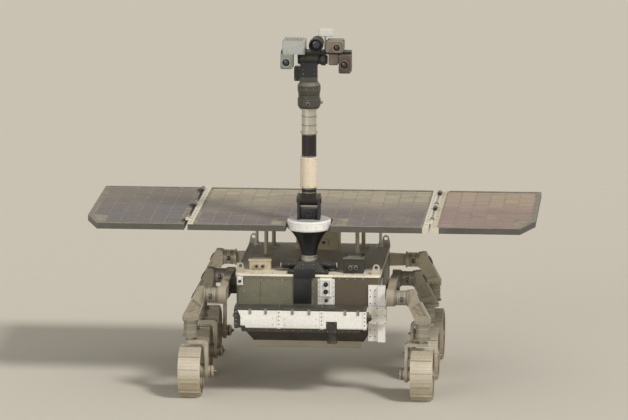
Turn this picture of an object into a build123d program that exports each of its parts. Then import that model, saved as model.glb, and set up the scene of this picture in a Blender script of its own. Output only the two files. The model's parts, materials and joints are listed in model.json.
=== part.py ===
from build123d import *
from math import cos, pi, sin
import os

os.makedirs("parts", exist_ok=True)

# Millimetres. The front of the rover faces -Y, left is +X, Z is up.

# Running fits and seats
FIT = 0.05
SEAT = 0.3

# Wheels
WHEEL_R = 142.5
WHEEL_W = 120.0
LUG_COUNT = 12
LUG_H = 8.0
LUG_T = 4.0
RIM_T = 3.0
RIM_LIP = 10.0
HUB_R = 46.0
HUB_FLANGE_R = 56.0
HUB_FLANGE_T = 6.0
HUB_INNER = -30.0
HUB_OUTER = 50.0
CAP_R = 30.0
CAP_T = 6.0
SPOKE_COUNT = 8
SPOKE_T = 3.0
SPOKE_W = 56.0
SPOKE_BOW = 0.3
TRACK_HALF = 630.0
WHEELBASE_HALF = 520.0

# Each wheel stands on two lugs, one each side of its lowest point
AXLE_Z = WHEEL_R * cos(pi / LUG_COUNT) + LUG_T / 2 * sin(pi / LUG_COUNT)

# Knuckle
PLATE_GAP = 15.0
PLATE_T = 18.0
PLATE_Z = AXLE_Z + WHEEL_R + PLATE_GAP
ARM_GAP = 19.0
ARM_T = 16.0
ARM_HALF = 32.0
ARM_DISC_R = 46.0
MOTOR_R = 38.0
MOTOR_REACH = 10.0
MOTOR_TAIL = 30.0
MOTOR_TAIL_R = 30.0
SPINDLE_R = 22.0
SPINDLE_DEEP = 22.0
SPINDLE_END_GAP = 3.0

# Steering actuator and leg
STEER_GAP = 16.0
STEER_R = 38.0
STEER_FLANGE_R = 44.0
STEER_H = 95.0
FLANGE_T = 8.0
STEER_Z = PLATE_Z + PLATE_T + STEER_GAP
LEG_W = 56.0
LEG_FOOT_T = 20.0
LEG_TOP_W = 34.0
LEG_TOP_H = 88.0
LEG_WALL = 10.0
LEG_POCKET = 8.0

# Body
BODY_FRONT = -430.0
BODY_REAR = 440.0
BODY_HALF = 390.0
BELLY_IN = 90.0
BELLY_Z = 280.0
FLARE_H = 150.0
BODY_TOP = 650.0
BELLY_CHAMFER = 60.0
BODY_EDGE = 18.0
RECESS = 3.0
RECESS_EDGE = 30.0
DECK_T = 12.0
DECK_LIP = 5.0
DECK_Z = BODY_TOP + DECK_T
SHOULDER_Z = BELLY_Z + FLARE_H

# Deck fittings
PAYLOAD_X = 200.0
PAYLOAD_Y = 150.0
PAYLOAD_BACK = 320.0
PAYLOAD_HOLE_R = 3.3
EYE_IN = 20.0
EYE_END = 30.0
EYE_HOLE_R = 10.0
EYE_WALL = 8.0
EYE_T = 12.0
EYE_UP = 30.0
EYE_FOOT_T = 8.0

# Suspension
PIVOT_DROP = 90.0
PIVOT_Z = BODY_TOP - PIVOT_DROP
BEAM_GAP = 45.0
BEAM_T = 40.0
BEAM_X = BODY_HALF + BEAM_GAP
BEAM_END_H = 60.0
BEAM_MID_H = 96.0
BEAM_MID_HALF = 70.0
BEAM_WALL = 12.0
BEAM_POCKET = 10.0
BEAM_BOSS_R = 48.0
PIVOT_R = 45.0
PIVOT_CAP_R = 34.0
PIVOT_CAP_T = 14.0
DEPLOY_R = 40.0
DEPLOY_FLANGE_R = 46.0
DEPLOY_L = 80.0

# Solar array
ARRAY_UP = 268.0
ARRAY_TOP = DECK_Z + ARRAY_UP
ARRAY_FRONT = BODY_FRONT
ARRAY_TAIL = 210.0
ARRAY_REAR = BODY_REAR + ARRAY_TAIL
FRAME_H = 32.0
FRAME_W = 24.0
PANEL_T = 14.0
PANEL_SINK = 2.0
CENTRE_HALF = 655.0
WING_GAP = 10.0
HINGE_UP = 15.0
SPAN_HALF = 1225.0
WING_CUT_X = 75.0
WING_CUT_END = 55.0
HINGE_END = 100.0
HINGE_PIN_R = 5.0
HINGE_LUG_R = 9.0
HINGE_LUG_HALF = 15.0
HINGE_CHEEK = 12.0
HINGE_BAR_W = 30.0
HINGE_BAR_T = 8.0
POST_X = 250.0
POST_FRONT = 280.0
POST_REAR = 320.0
POST_R = 11.0
POST_FOOT = 30.0
POST_FOOT_T = 8.0
NOTCH_HALF = 122.0
FRAME_LOW = ARRAY_TOP - FRAME_H
PANEL_TOP = ARRAY_TOP - PANEL_SINK
PANEL_LOW = PANEL_TOP - PANEL_T
HINGE_X = CENTRE_HALF + WING_GAP
HINGE_Z = ARRAY_TOP + HINGE_UP
WING_INNER = HINGE_X + WING_GAP
HINGE_STATIONS = (
    ARRAY_FRONT + HINGE_END,
    (ARRAY_FRONT + ARRAY_REAR) / 2,
    ARRAY_REAR - HINGE_END,
)
POST_Y = (ARRAY_FRONT + POST_FRONT, ARRAY_REAR - POST_REAR)
WING_CUT_Y = POST_FRONT - WING_CUT_END

# Mast, each stage with its own height
MAST_BACK = 90.0
MAST_Y = BODY_FRONT + MAST_BACK
FOOT_PLATE_HALF = 110.0
FOOT_PLATE_T = 12.0
FOOT_H = 48.0
FOOT_BASE_X = 180.0
FOOT_BASE_Y = 150.0
FOOT_HEAD = 110.0
FOOT_DRUM_R = 22.0
FOOT_DRUM_HALF = 150.0
FOOT_DRUM_UP = 36.0
NECK_R = 44.0
NECK_H = 33.0
CONE_R = 110.0
CONE_BASE_R = 42.0
CONE_H = 143.0
COLLAR_R = 118.0
COLLAR_H = 56.0
COLLAR_EDGE = 6.0
FOLD_UP = 106.0
FOLD_PIN_R = 12.0
CHEEK_R = 34.0
CHEEK_T = 14.0
TUBE_R = 40.0
TUBE_SIDE = 8.0
SLEEVE_UP = 68.0
SLEEVE_H = 169.0
SLEEVE_WALL = 8.0
TUBE_OVER = 130.0
BARE_H = 138.0
BARE_FLANGE = 8.0
PAN_H = 75.0
PAN_R = 62.0
PAN_GAP = 2.0
FORK_DRUM_H = 66.0
FORK_SPINDLE_R = 20.0
FORK_HALF_X = 45.0
FORK_HALF_Y = 24.0
TILT_UP = 190.0
TILT_R = 30.0
TILT_PIN_R = 10.0
PAN_DRIVE_OUT = 80.0
PAN_DRIVE_HALF = 22.0
PAN_DRIVE_LOW = 116.0
PAN_DRIVE_HIGH = 38.0
TILT_DRIVE_R = 32.0
TILT_DRIVE_L = 40.0
FOOT_TOP = DECK_Z + FOOT_PLATE_T + FOOT_H
NECK_TOP = FOOT_TOP + NECK_H
CONE_TOP = NECK_TOP + CONE_H
COLLAR_TOP = CONE_TOP + COLLAR_H
FOLD_Z = COLLAR_TOP + FOLD_UP
SLEEVE_Z = FOLD_Z + SLEEVE_UP
BARE_Z = SLEEVE_Z + SLEEVE_H + TUBE_OVER
PAN_Z = BARE_Z + BARE_H + PAN_H
TILT_Z = PAN_Z + TILT_UP

# Camera head
BENCH_UP = 35.0
BENCH_T = 14.0
BENCH_LEFT = 230.0
BENCH_RIGHT = -150.0
BENCH_HALF = 45.0
BENCH_CHEEK = 50.0
BENCH_CHEEK_T = 10.0
BENCH_LOW = TILT_Z + BENCH_UP
BENCH_TOP = BENCH_LOW + BENCH_T
EYE_BOX_W = 65.0
EYE_BOX_FRONT = 70.0
EYE_BOX_BACK = 40.0
EYE_BOX_LEFT_H = 100.0
EYE_BOX_RIGHT_H = 80.0
LENS_R = 22.0
HOOD_R = 27.0
LENS_L = 26.0
TELE_X = 43.0
TELE_R = 34.0
TELE_HOOD_R = 38.0
TELE_FRONT = 95.0
TELE_BACK = 55.0
TELE_SADDLE = 6.0
ELECTRONICS_RIGHT = -140.0
ELECTRONICS_W = 123.0
ELECTRONICS_H = 60.0
FIN_H = 9.0
FIN_COUNT = 7
SPECTRO_RIGHT = 95.0
SPECTRO_W = 95.0
SPECTRO_H = 60.0
SPECTRO_EYE_IN = 34.0
SPECTRO_EYE_R = 20.0
SPECTRO_HOOD_R = 24.0
SPECTRO_LOW_IN = 13.0
SPECTRO_LOW_W = 52.0
SPECTRO_LOW_H = 60.0
SPECTRO_LOW_HALF = 40.0
TARGET_X = 92.0
TARGET_STEM_X = 88.0
TARGET_STEM_R = 5.0
TARGET_HALF = 38.0
TARGET_DEEP = 56.0
TARGET_H = 40.0
TARGET_UP = 121.0

# Drill
RAIL_OVER = 14.0
RAIL_W = 40.0
RAIL_PLATE_IN = 60.0
RAIL_PLATE_T = 12.0
RAIL_DEEP = 24.0
RAIL_DROP = 40.0
RAIL_UP = 20.0
CARRIAGE_T = 24.0
CARRIAGE_HALF = 48.0
CARRIAGE_LIP = 8.0
ARM_PLATE_T = 20.0
ARM_PLATE_HALF = 36.0
BOX_GAP = 7.0
BOX_LEFT_IN = 60.0
BOX_RIGHT_IN = 5.0
BOX_UP = 112.5
BOX_H = 120.0
BOX_DEEP = 108.0
BOX_BAND = 3.0
BOX_BAND_W = 18.0
BOX_ROUND = 14.0
BOX_PIVOT_IN = 80.0
BOX_PIN_R = 20.0
BOX_PIN_DEEP = 25.0
BOX_BOSS_R = 32.0
SHOE_T = 20.0
SHOE_IN = 18.0
TIP_R = 32.0
IMAGER_IN = 188.0
IMAGER_R = 28.0
IMAGER_H = 62.0
IMAGER_LIP = 8.0
IMAGER_EYE_R = 18.0
IMAGER_MOUNT_HALF = 30.0
IMAGER_MOUNT_UP = 46.0
IMAGER_NOTCH = 12.0
RAIL_X = BODY_HALF + RAIL_OVER
RAIL_LOW = BELLY_Z + RAIL_UP
RAIL_TOP = BODY_TOP - RAIL_DROP
RAIL_FRONT = BODY_FRONT - RAIL_PLATE_T - RAIL_DEEP
ARM_FRONT = RAIL_FRONT - CARRIAGE_T
BOX_BACK = ARM_FRONT - BOX_GAP
BOX_FRONT = BOX_BACK - BOX_DEEP
BOX_LEFT = BODY_HALF - BOX_LEFT_IN
BOX_RIGHT = BOX_RIGHT_IN - BODY_HALF
BOX_LOW = BELLY_Z + BOX_UP
BOX_TOP = BOX_LOW + BOX_H
DRILL_PIVOT_X = BOX_LEFT - BOX_PIVOT_IN
DRILL_PIVOT_Z = BOX_LOW + BOX_H / 2

# Front camera housing, deck units and rear fittings
HOUSING_X = 68.0
HOUSING_W = 65.0
HOUSING_H = 101.0
HOUSING_DEEP = 36.0
HOUSING_EYE_R = 13.0
HOUSING_EYE_L = 12.0
CORNER_IN = 5.0
CORNER_W = 32.0
CORNER_H = 46.0
CORNER_DEEP = 20.0
UNIT_LID = 10.0
UNIT_PLUG = 12.0
WHIP_IN = 45.0
WHIP_END = 100.0
WHIP_R = 9.0
WHIP_BASE_R = 16.0
WHIP_BASE_H = 30.0
WHIP_H = 160.0
RADAR_HALF = 110.0
RADAR_DEEP = 80.0
RADAR_H = 80.0
RADAR_BACK = 120.0
RADAR_UP = 110.0
RADAR_ARM_HALF = 24.0
RADAR_ARM_H = 30.0
REAR_PANEL_IN = 165.0
REAR_PANEL_HALF = 75.0
REAR_PANEL_X = BODY_HALF - REAR_PANEL_IN
REAR_PANEL_H = 160.0
REAR_PANEL_T = 14.0
REAR_PANEL_UP = 160.0
STOP_R = 22.0
STOP_NECK_R = 14.0
STOP_NECK_L = 20.0
STOP_T = 12.0

# Deck units: middle x, width, front edge behind the body's front, depth, height
UNIT_TABLE = (
    (245.0, 110.0, 42.0, 140.0, 84.0),
    (-270.0, 120.0, 100.0, 130.0, 60.0),
    (0.0, 240.0, 690.0, 140.0, 110.0),
)


def block(x0, x1, y0, y1, z0, z1):
    middle = Pos((x0 + x1) / 2, (y0 + y1) / 2, (z0 + z1) / 2)
    return middle * Box(abs(x1 - x0), abs(y1 - y0), abs(z1 - z0))


def rod_x(radius, x0, x1, y, z):
    return Pos((x0 + x1) / 2, y, z) * Rot(0, 90, 0) * Cylinder(radius, abs(x1 - x0))


def rod_y(radius, y0, y1, x, z):
    return Pos(x, (y0 + y1) / 2, z) * Rot(90, 0, 0) * Cylinder(radius, abs(y1 - y0))


def rod_z(radius, z0, z1, x, y):
    return Pos(x, y, (z0 + z1) / 2) * Cylinder(radius, abs(z1 - z0))


# Turned parts from steps of (place along the axis, radius)
def turned_x(steps, y, z):
    points = [(steps[0][0], 0), *steps, (steps[-1][0], 0)]
    return Pos(0, y, z) * revolve(Polygon(*points, align=None), Axis.X)


def turned_y(steps, x, z):
    points = [(0, steps[0][0]), *[(r, y) for y, r in steps], (0, steps[-1][0])]
    return Pos(x, 0, z) * revolve(Polygon(*points, align=None), Axis.Y)


def turned_z(steps, x, y):
    points = [(0, steps[0][0]), *[(r, z) for z, r in steps], (0, steps[-1][0])]
    return Pos(x, y, 0) * revolve(Plane.XZ * Polygon(*points, align=None), Axis.Z)


def plate_xz(points, y0, y1):
    face = Plane.XZ * Polygon(*points, align=None)
    return Pos(0, (y0 + y1) / 2, 0) * extrude(face, abs(y1 - y0) / 2, both=True)


def plate_yz(points, x0, x1):
    face = Plane.YZ * Polygon(*points, align=None)
    return Pos((x0 + x1) / 2, 0, 0) * extrude(face, abs(x1 - x0) / 2, both=True)


def plate_xy(points, z0, z1):
    return Pos(0, 0, z0) * extrude(Polygon(*points, align=None), z1 - z0)


def both_sides(shape):
    return [shape, mirror(shape, about=Plane.YZ)]


# Camera eye: a stepped barrel with an open hood on a housing face
def camera_eye(front, x, z, lens_r, hood_r, length):
    steps = [
        (front, lens_r),
        (front - length * 0.5, lens_r),
        (front - length * 0.6, hood_r),
        (front - length, hood_r),
    ]
    eye = turned_y(steps, x, z)
    return eye - rod_y(lens_r - 2, front - length - 1, front - length * 0.5, x, z)


def save(shape, name):
    if isinstance(shape, list):
        shape = Compound(children=shape)
    export_step(shape, "parts/" + name + ".step")


# Outline moved inwards by a width, for an outline that runs anticlockwise
def inset(points, width):
    inner = []
    for number, point in enumerate(points):
        before = Vector(*points[number - 1])
        here = Vector(*point)
        after = Vector(*points[(number + 1) % len(points)])
        first = (here - before).normalized()
        second = (after - here).normalized()
        reach = width / (1 + first.dot(second))
        inner.append((here.X - (first.Y + second.Y) * reach, here.Y + (first.X + second.X) * reach))
    return inner


# Mitred rails round an outline, one straight rail for each side
def mitred_rails(points, width, z0, z1):
    inner = inset(points, width)
    rails = []
    for number, point in enumerate(points):
        following = (number + 1) % len(points)
        corners = [point, points[following], inner[following], inner[number]]
        rails.append(plate_xy(corners, z0, z1))
    return rails


# Body tub: upright sides over a flared belly, bevelled belly ends and shallow panel recesses
belly_half = BODY_HALF - BELLY_IN
tub_outline = [
    (-belly_half, BELLY_Z),
    (belly_half, BELLY_Z),
    (BODY_HALF, SHOULDER_Z),
    (BODY_HALF, BODY_TOP),
    (-BODY_HALF, BODY_TOP),
    (-BODY_HALF, SHOULDER_Z),
]
beam_pivot_y = -WHEELBASE_HALF / 2
tub = plate_xz(tub_outline, BODY_FRONT, BODY_REAR)
tub = chamfer(tub.edges().filter_by(Axis.X).group_by(Axis.Z)[0], BELLY_CHAMFER)
tub = fillet(tub.edges().filter_by(Axis.Z), BODY_EDGE)
side_recess = block(
    BODY_HALF - RECESS,
    BODY_HALF + 1,
    beam_pivot_y + PIVOT_R + RECESS_EDGE,
    BODY_REAR - RECESS_EDGE,
    SHOULDER_Z + RECESS_EDGE,
    BODY_TOP - RECESS_EDGE,
)
side_recess = fillet(side_recess.edges().filter_by(Axis.X), BODY_EDGE)
for recess in both_sides(side_recess):
    tub -= recess
front_recess = block(
    -BODY_HALF + RECESS_EDGE,
    HOUSING_X - RECESS_EDGE,
    BODY_FRONT - 1,
    BODY_FRONT + RECESS,
    BOX_TOP + RECESS_EDGE / 2,
    BODY_TOP - RECESS_EDGE / 2,
)
tub -= fillet(front_recess.edges().filter_by(Axis.Y), BODY_EDGE / 2)
belly_recess = block(
    -belly_half + 2 * RECESS_EDGE,
    belly_half - 2 * RECESS_EDGE,
    BODY_FRONT + BELLY_CHAMFER + 2 * RECESS_EDGE,
    BODY_REAR - BELLY_CHAMFER - 2 * RECESS_EDGE,
    BELLY_Z - 1,
    BELLY_Z + RECESS,
)
tub -= fillet(belly_recess.edges().filter_by(Axis.Z), BODY_EDGE)
save(tub, "body_tub")

# Deck plate with four payload bolt holes behind the middle
deck_half = BODY_HALF + DECK_LIP
deck = block(
    -deck_half, deck_half, BODY_FRONT - DECK_LIP, BODY_REAR + DECK_LIP, BODY_TOP, DECK_Z
)
deck = fillet(deck.edges().filter_by(Axis.Z), BODY_EDGE + DECK_LIP)
payload_y = BODY_REAR - PAYLOAD_BACK
for hole_x in (-PAYLOAD_X / 2, PAYLOAD_X / 2):
    for hole_y in (-PAYLOAD_Y / 2, PAYLOAD_Y / 2):
        deck -= rod_z(PAYLOAD_HOLE_R, BODY_TOP - 1, DECK_Z + 1, hole_x, payload_y + hole_y)
save(deck, "deck_plate")

# Lifting eyes near the four corners of the deck
eye_r = EYE_HOLE_R + EYE_WALL
eye_z = DECK_Z + EYE_FOOT_T + EYE_UP
eyes = []
for eye_y in (BODY_FRONT + EYE_END, BODY_REAR - EYE_END):
    eye_x = BODY_HALF - EYE_IN
    foot_half = eye_r + 6
    web = [
        (eye_x - foot_half, DECK_Z + EYE_FOOT_T),
        (eye_x + foot_half, DECK_Z + EYE_FOOT_T),
        (eye_x + eye_r * 0.95, eye_z + eye_r * 0.3),
        (eye_x - eye_r * 0.95, eye_z + eye_r * 0.3),
    ]
    eye = plate_xz(web, eye_y - EYE_T / 2, eye_y + EYE_T / 2)
    eye += rod_y(eye_r, eye_y - EYE_T / 2, eye_y + EYE_T / 2, eye_x, eye_z)
    eye += block(
        eye_x - foot_half,
        eye_x + foot_half,
        eye_y - EYE_T,
        eye_y + EYE_T,
        DECK_Z,
        DECK_Z + EYE_FOOT_T,
    )
    eye -= rod_y(EYE_HOLE_R, eye_y - EYE_T, eye_y + EYE_T, eye_x, eye_z)
    eyes += both_sides(eye)
save(eyes, "lifting_eyes")


# Bogie beam outline: deep round the pivot, shallow at the ends
def beam_points(end0, middle, end1, drop):
    high_end = BEAM_END_H / 2 - drop
    high_mid = BEAM_MID_H / 2 - drop
    upper = [
        (end1, PIVOT_Z + high_end),
        (middle + BEAM_MID_HALF, PIVOT_Z + high_mid),
        (middle - BEAM_MID_HALF, PIVOT_Z + high_mid),
        (end0, PIVOT_Z + high_end),
    ]
    lower = [(place, 2 * PIVOT_Z - height) for place, height in reversed(upper)]
    return lower + upper


# Side bogie beams with end bosses and pockets in their outer faces
side_beam = plate_yz(beam_points(-WHEELBASE_HALF, beam_pivot_y, 0, 0), BEAM_X, BEAM_X + BEAM_T)
for boss_y in (-WHEELBASE_HALF, 0):
    side_beam += rod_x(BEAM_BOSS_R, BEAM_X, BEAM_X + BEAM_T, boss_y, PIVOT_Z)
pocket_out = BEAM_X + BEAM_T - BEAM_POCKET
pocket_keep = PIVOT_CAP_R + BEAM_WALL
for near, far in (
    (-WHEELBASE_HALF + BEAM_BOSS_R, beam_pivot_y - pocket_keep),
    (beam_pivot_y + pocket_keep, -BEAM_BOSS_R),
):
    pocket = block(
        pocket_out,
        BEAM_X + BEAM_T + 1,
        near + BEAM_WALL,
        far,
        PIVOT_Z - BEAM_END_H / 2 + BEAM_WALL,
        PIVOT_Z + BEAM_END_H / 2 - BEAM_WALL,
    )
    side_beam -= fillet(pocket.edges().filter_by(Axis.X), BEAM_WALL)
save(both_sides(side_beam), "bogie_beams_side")

# Rear bogie beam across the back, with the same bosses and pockets
deploy_x = BEAM_X + BEAM_T
rear_front = WHEELBASE_HALF - BEAM_T / 2
rear_back = WHEELBASE_HALF + BEAM_T / 2
rear_beam = plate_xz(beam_points(-deploy_x, 0, deploy_x, 0), rear_front, rear_back)
for pocket_side in (-1, 1):
    pocket = block(
        pocket_side * pocket_keep * 2,
        pocket_side * (deploy_x - 2 * BEAM_WALL),
        rear_back - BEAM_POCKET,
        rear_back + 1,
        PIVOT_Z - BEAM_END_H / 2 + BEAM_WALL,
        PIVOT_Z + BEAM_END_H / 2 - BEAM_WALL,
    )
    rear_beam -= fillet(pocket.edges().filter_by(Axis.Y), BEAM_WALL)
save(rear_beam, "bogie_beam_rear")

# Bogie pivots: a drum from the body to each beam and a stepped cap on the far face
side_pivot = rod_x(PIVOT_R, BODY_HALF, BEAM_X, beam_pivot_y, PIVOT_Z)
cap_steps = [
    (deploy_x, PIVOT_CAP_R),
    (deploy_x + PIVOT_CAP_T / 2, PIVOT_CAP_R),
    (deploy_x + PIVOT_CAP_T, PIVOT_CAP_R * 0.7),
]
side_cap = turned_x(cap_steps, beam_pivot_y, PIVOT_Z)
rear_pivot = rod_y(PIVOT_R, BODY_REAR, rear_front, 0, PIVOT_Z)
rear_cap_steps = [
    (rear_back, PIVOT_CAP_R),
    (rear_back + PIVOT_CAP_T / 2, PIVOT_CAP_R),
    (rear_back + PIVOT_CAP_T, PIVOT_CAP_R * 0.7),
]
rear_cap = turned_y(rear_cap_steps, 0, PIVOT_Z)
save(both_sides(side_pivot) + both_sides(side_cap) + [rear_pivot, rear_cap], "bogie_pivots")

# Legs, deployment actuators and steering actuators at the six wheels
leg_x = deploy_x + DEPLOY_L
leg_foot_z = STEER_Z + STEER_H
leg_foot_top = leg_foot_z + LEG_FOOT_T
leg_in = TRACK_HALF - STEER_FLANGE_R
leg_out = TRACK_HALF + STEER_FLANGE_R
leg_low = PIVOT_Z - LEG_TOP_H / 2
leg_high = PIVOT_Z + LEG_TOP_H / 2
leg_outline = [
    (leg_x, leg_low),
    (leg_in, leg_foot_top),
    (leg_in, leg_foot_z),
    (leg_out, leg_foot_z),
    (leg_out, leg_foot_top),
    (leg_x + LEG_TOP_W, leg_high),
    (leg_x, leg_high),
]


# Point on the leg's inner or outer edge, a share of the way down
def leg_edge(top_x, top_z, foot_x, share, shift):
    return (
        top_x + (foot_x - top_x) * share + shift,
        top_z + (leg_foot_top - top_z) * share,
    )


pocket_points = [
    leg_edge(leg_x, leg_low, leg_in, 0.15, LEG_WALL),
    leg_edge(leg_x, leg_low, leg_in, 0.85, LEG_WALL),
    leg_edge(leg_x + LEG_TOP_W, leg_high, leg_out, 0.85, -LEG_WALL),
    leg_edge(leg_x + LEG_TOP_W, leg_high, leg_out, 0.4, -LEG_WALL),
]
deploy_steps = [
    (deploy_x, DEPLOY_FLANGE_R),
    (deploy_x + FLANGE_T, DEPLOY_FLANGE_R),
    (deploy_x + FLANGE_T, DEPLOY_R),
    (leg_x - FLANGE_T, DEPLOY_R),
    (leg_x - FLANGE_T, DEPLOY_FLANGE_R),
    (leg_x, DEPLOY_FLANGE_R),
]
steer_steps = [
    (STEER_Z, STEER_FLANGE_R),
    (STEER_Z + FLANGE_T, STEER_FLANGE_R),
    (STEER_Z + FLANGE_T, STEER_R),
    (leg_foot_z - FLANGE_T, STEER_R),
    (leg_foot_z - FLANGE_T, STEER_FLANGE_R),
    (leg_foot_z, STEER_FLANGE_R),
]
legs = []
deploys = []
steers = []
for axle_y in (-WHEELBASE_HALF, 0.0, WHEELBASE_HALF):
    leg_front = axle_y - LEG_W / 2
    leg_back = axle_y + LEG_W / 2
    leg = plate_xz(leg_outline, leg_front, leg_back)
    leg = fillet(leg.edges().filter_by(Axis.Y).group_by(Axis.Z)[-1], LEG_WALL)
    leg -= plate_xz(pocket_points, leg_front - 1, leg_front + LEG_POCKET)
    leg -= plate_xz(pocket_points, leg_back - LEG_POCKET, leg_back + 1)
    legs += both_sides(leg)
    deploys += both_sides(turned_x(deploy_steps, axle_y, PIVOT_Z))
    steer = turned_z(steer_steps, TRACK_HALF, axle_y)
    bore_top = STEER_Z + SPINDLE_DEEP + SPINDLE_END_GAP
    steer -= rod_z(SPINDLE_R + FIT, STEER_Z - 1, bore_top, TRACK_HALF, axle_y)
    steers += both_sides(steer)
save(legs, "legs")
save(deploys, "deployment_actuators")
save(steers, "steering_actuators")


# Knuckle over and inside the wheel with its drive motor, left side at the middle axle
def make_knuckle():
    arm_out = TRACK_HALF - WHEEL_W / 2 - ARM_GAP
    arm_in = arm_out - ARM_T
    plate_top = PLATE_Z + PLATE_T
    cut = PLATE_T * 0.7
    plate_outline = [
        (arm_in, PLATE_Z),
        (TRACK_HALF, PLATE_Z),
        (TRACK_HALF, plate_top),
        (arm_in + cut, plate_top),
        (arm_in, plate_top - cut),
    ]
    plate = plate_xz(plate_outline, -ARM_HALF, ARM_HALF)
    plate += rod_z(ARM_HALF, PLATE_Z, plate_top, TRACK_HALF, 0)
    arm_points = [
        (-ARM_HALF, PLATE_Z),
        (-ARM_HALF, PLATE_Z - PLATE_T),
        (-ARM_DISC_R * 0.96, AXLE_Z + ARM_DISC_R * 0.3),
        (ARM_DISC_R * 0.96, AXLE_Z + ARM_DISC_R * 0.3),
        (ARM_HALF, PLATE_Z - PLATE_T),
        (ARM_HALF, PLATE_Z),
    ]
    arm = plate_yz(arm_points, arm_in, arm_out)
    arm += rod_x(ARM_DISC_R, arm_in, arm_out, 0, AXLE_Z)
    window = block(arm_in - 1, arm_out + 1, -ARM_T, ARM_T, AXLE_Z + ARM_DISC_R + 14, PLATE_Z - 12)
    arm -= fillet(window.edges().filter_by(Axis.X), ARM_T / 2)
    motor_steps = [
        (arm_in - MOTOR_TAIL, MOTOR_TAIL_R * 0.8),
        (arm_in - MOTOR_TAIL + 5, MOTOR_TAIL_R),
        (arm_in, MOTOR_TAIL_R),
        (arm_in, MOTOR_R),
        (TRACK_HALF + MOTOR_REACH, MOTOR_R),
    ]
    motor = turned_x(motor_steps, 0, AXLE_Z)
    spindle = rod_z(SPINDLE_R, PLATE_Z, STEER_Z + SPINDLE_DEEP, TRACK_HALF, 0)
    return plate + arm + motor + spindle


# Wheel: rim with lips and lugs, bowed spring spokes, hub and cap, left side, middle axle
def make_wheel():
    rim_r = WHEEL_R - LUG_H
    wheel = Cylinder(rim_r, WHEEL_W)
    wheel -= Cylinder(rim_r - RIM_T, WHEEL_W - 2 * RIM_T)
    wheel -= Cylinder(rim_r - RIM_LIP, WHEEL_W + 2)
    for number in range(LUG_COUNT):
        turn = 360 / LUG_COUNT * (number + 0.5)
        lug = Pos((rim_r - 1 + WHEEL_R) / 2, 0, 0) * Box(LUG_H + 1, LUG_T, WHEEL_W - 2 * LUG_T)
        wheel += Rot(0, 0, turn) * lug
    hub = rod_z(HUB_R, HUB_INNER, HUB_OUTER, 0, 0)
    hub += rod_z(HUB_FLANGE_R, HUB_OUTER - HUB_FLANGE_T, HUB_OUTER, 0, 0)
    hub += rod_z(CAP_R, HUB_OUTER, HUB_OUTER + CAP_T, 0, 0)
    hub -= rod_z(MOTOR_R + FIT, HUB_INNER - 1, MOTOR_REACH + 2, 0, 0)
    wheel += hub
    start = HUB_R - 2
    span = rim_r - RIM_T + 0.5 - start
    for number in range(SPOKE_COUNT):
        path = ThreePointArc((start, 0), (start + span / 2, span * SPOKE_BOW), (start + span, 0))
        leaf = make_face(offset(path, SPOKE_T / 2, side=Side.BOTH))
        wheel += Rot(0, 0, 360 / SPOKE_COUNT * number) * extrude(leaf, SPOKE_W / 2, both=True)
    return Pos(TRACK_HALF, 0, AXLE_Z) * Rot(0, 90, 0) * wheel


knuckle = make_knuckle()
wheel = make_wheel()
for corner_name, axle_y in (
    ("front", -WHEELBASE_HALF),
    ("middle", 0.0),
    ("rear", WHEELBASE_HALF),
):
    placed_knuckle = Pos(0, axle_y, 0) * knuckle
    placed_wheel = Pos(0, axle_y, 0) * wheel
    save(placed_knuckle, "knuckle_" + corner_name + "_left")
    save(mirror(placed_knuckle, about=Plane.YZ), "knuckle_" + corner_name + "_right")
    save(placed_wheel, "wheel_" + corner_name + "_left")
    save(mirror(placed_wheel, about=Plane.YZ), "wheel_" + corner_name + "_right")

# Centre array frame: mitred rails round the panel and the mast notch, with ribs under the panel
notch_back = MAST_Y + NOTCH_HALF
centre_outline = [
    (-CENTRE_HALF, ARRAY_FRONT),
    (-NOTCH_HALF, ARRAY_FRONT),
    (-NOTCH_HALF, notch_back),
    (NOTCH_HALF, notch_back),
    (NOTCH_HALF, ARRAY_FRONT),
    (CENTRE_HALF, ARRAY_FRONT),
    (CENTRE_HALF, ARRAY_REAR),
    (-CENTRE_HALF, ARRAY_REAR),
]
rail_half = FRAME_W / 2
bay_front = ARRAY_FRONT + FRAME_W
bay_rear = ARRAY_REAR - FRAME_W
bay_half = CENTRE_HALF - FRAME_W
frame = mitred_rails(centre_outline, FRAME_W, FRAME_LOW, ARRAY_TOP)
for rib_x in (-POST_X, POST_X):
    frame.append(
        block(rib_x - rail_half, rib_x + rail_half, bay_front, bay_rear, FRAME_LOW, PANEL_LOW)
    )
for rib_y in POST_Y:
    for near, far in (
        (-bay_half, -POST_X - rail_half),
        (-POST_X + rail_half, POST_X - rail_half),
        (POST_X + rail_half, bay_half),
    ):
        frame.append(
            block(near, far, rib_y - rail_half, rib_y + rail_half, FRAME_LOW, PANEL_LOW)
        )
save(frame, "array_frame")

# Centre panel in three boards, one each side of the notch and one behind it
board_in = NOTCH_HALF + FRAME_W
side_board = block(board_in, bay_half, bay_front, bay_rear, PANEL_LOW, PANEL_TOP)
back_board = block(-board_in, board_in, notch_back + FRAME_W, bay_rear, PANEL_LOW, PANEL_TOP)
save(both_sides(side_board) + [back_board], "array_panel_centre")

# Posts between deck and array, each with a foot flange and a head flange
posts = []
for post_x in (-POST_X, POST_X):
    for post_y in POST_Y:
        post = rod_z(POST_R, DECK_Z, FRAME_LOW, post_x, post_y)
        foot = Pos(post_x, post_y, DECK_Z) * Rectangle(2 * POST_FOOT, 2 * POST_FOOT)
        post += extrude(foot, POST_FOOT_T)
        post += rod_z(POST_R + 8, FRAME_LOW - POST_FOOT_T, FRAME_LOW, post_x, post_y)
        posts.append(post)
save(posts, "array_posts")

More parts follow.
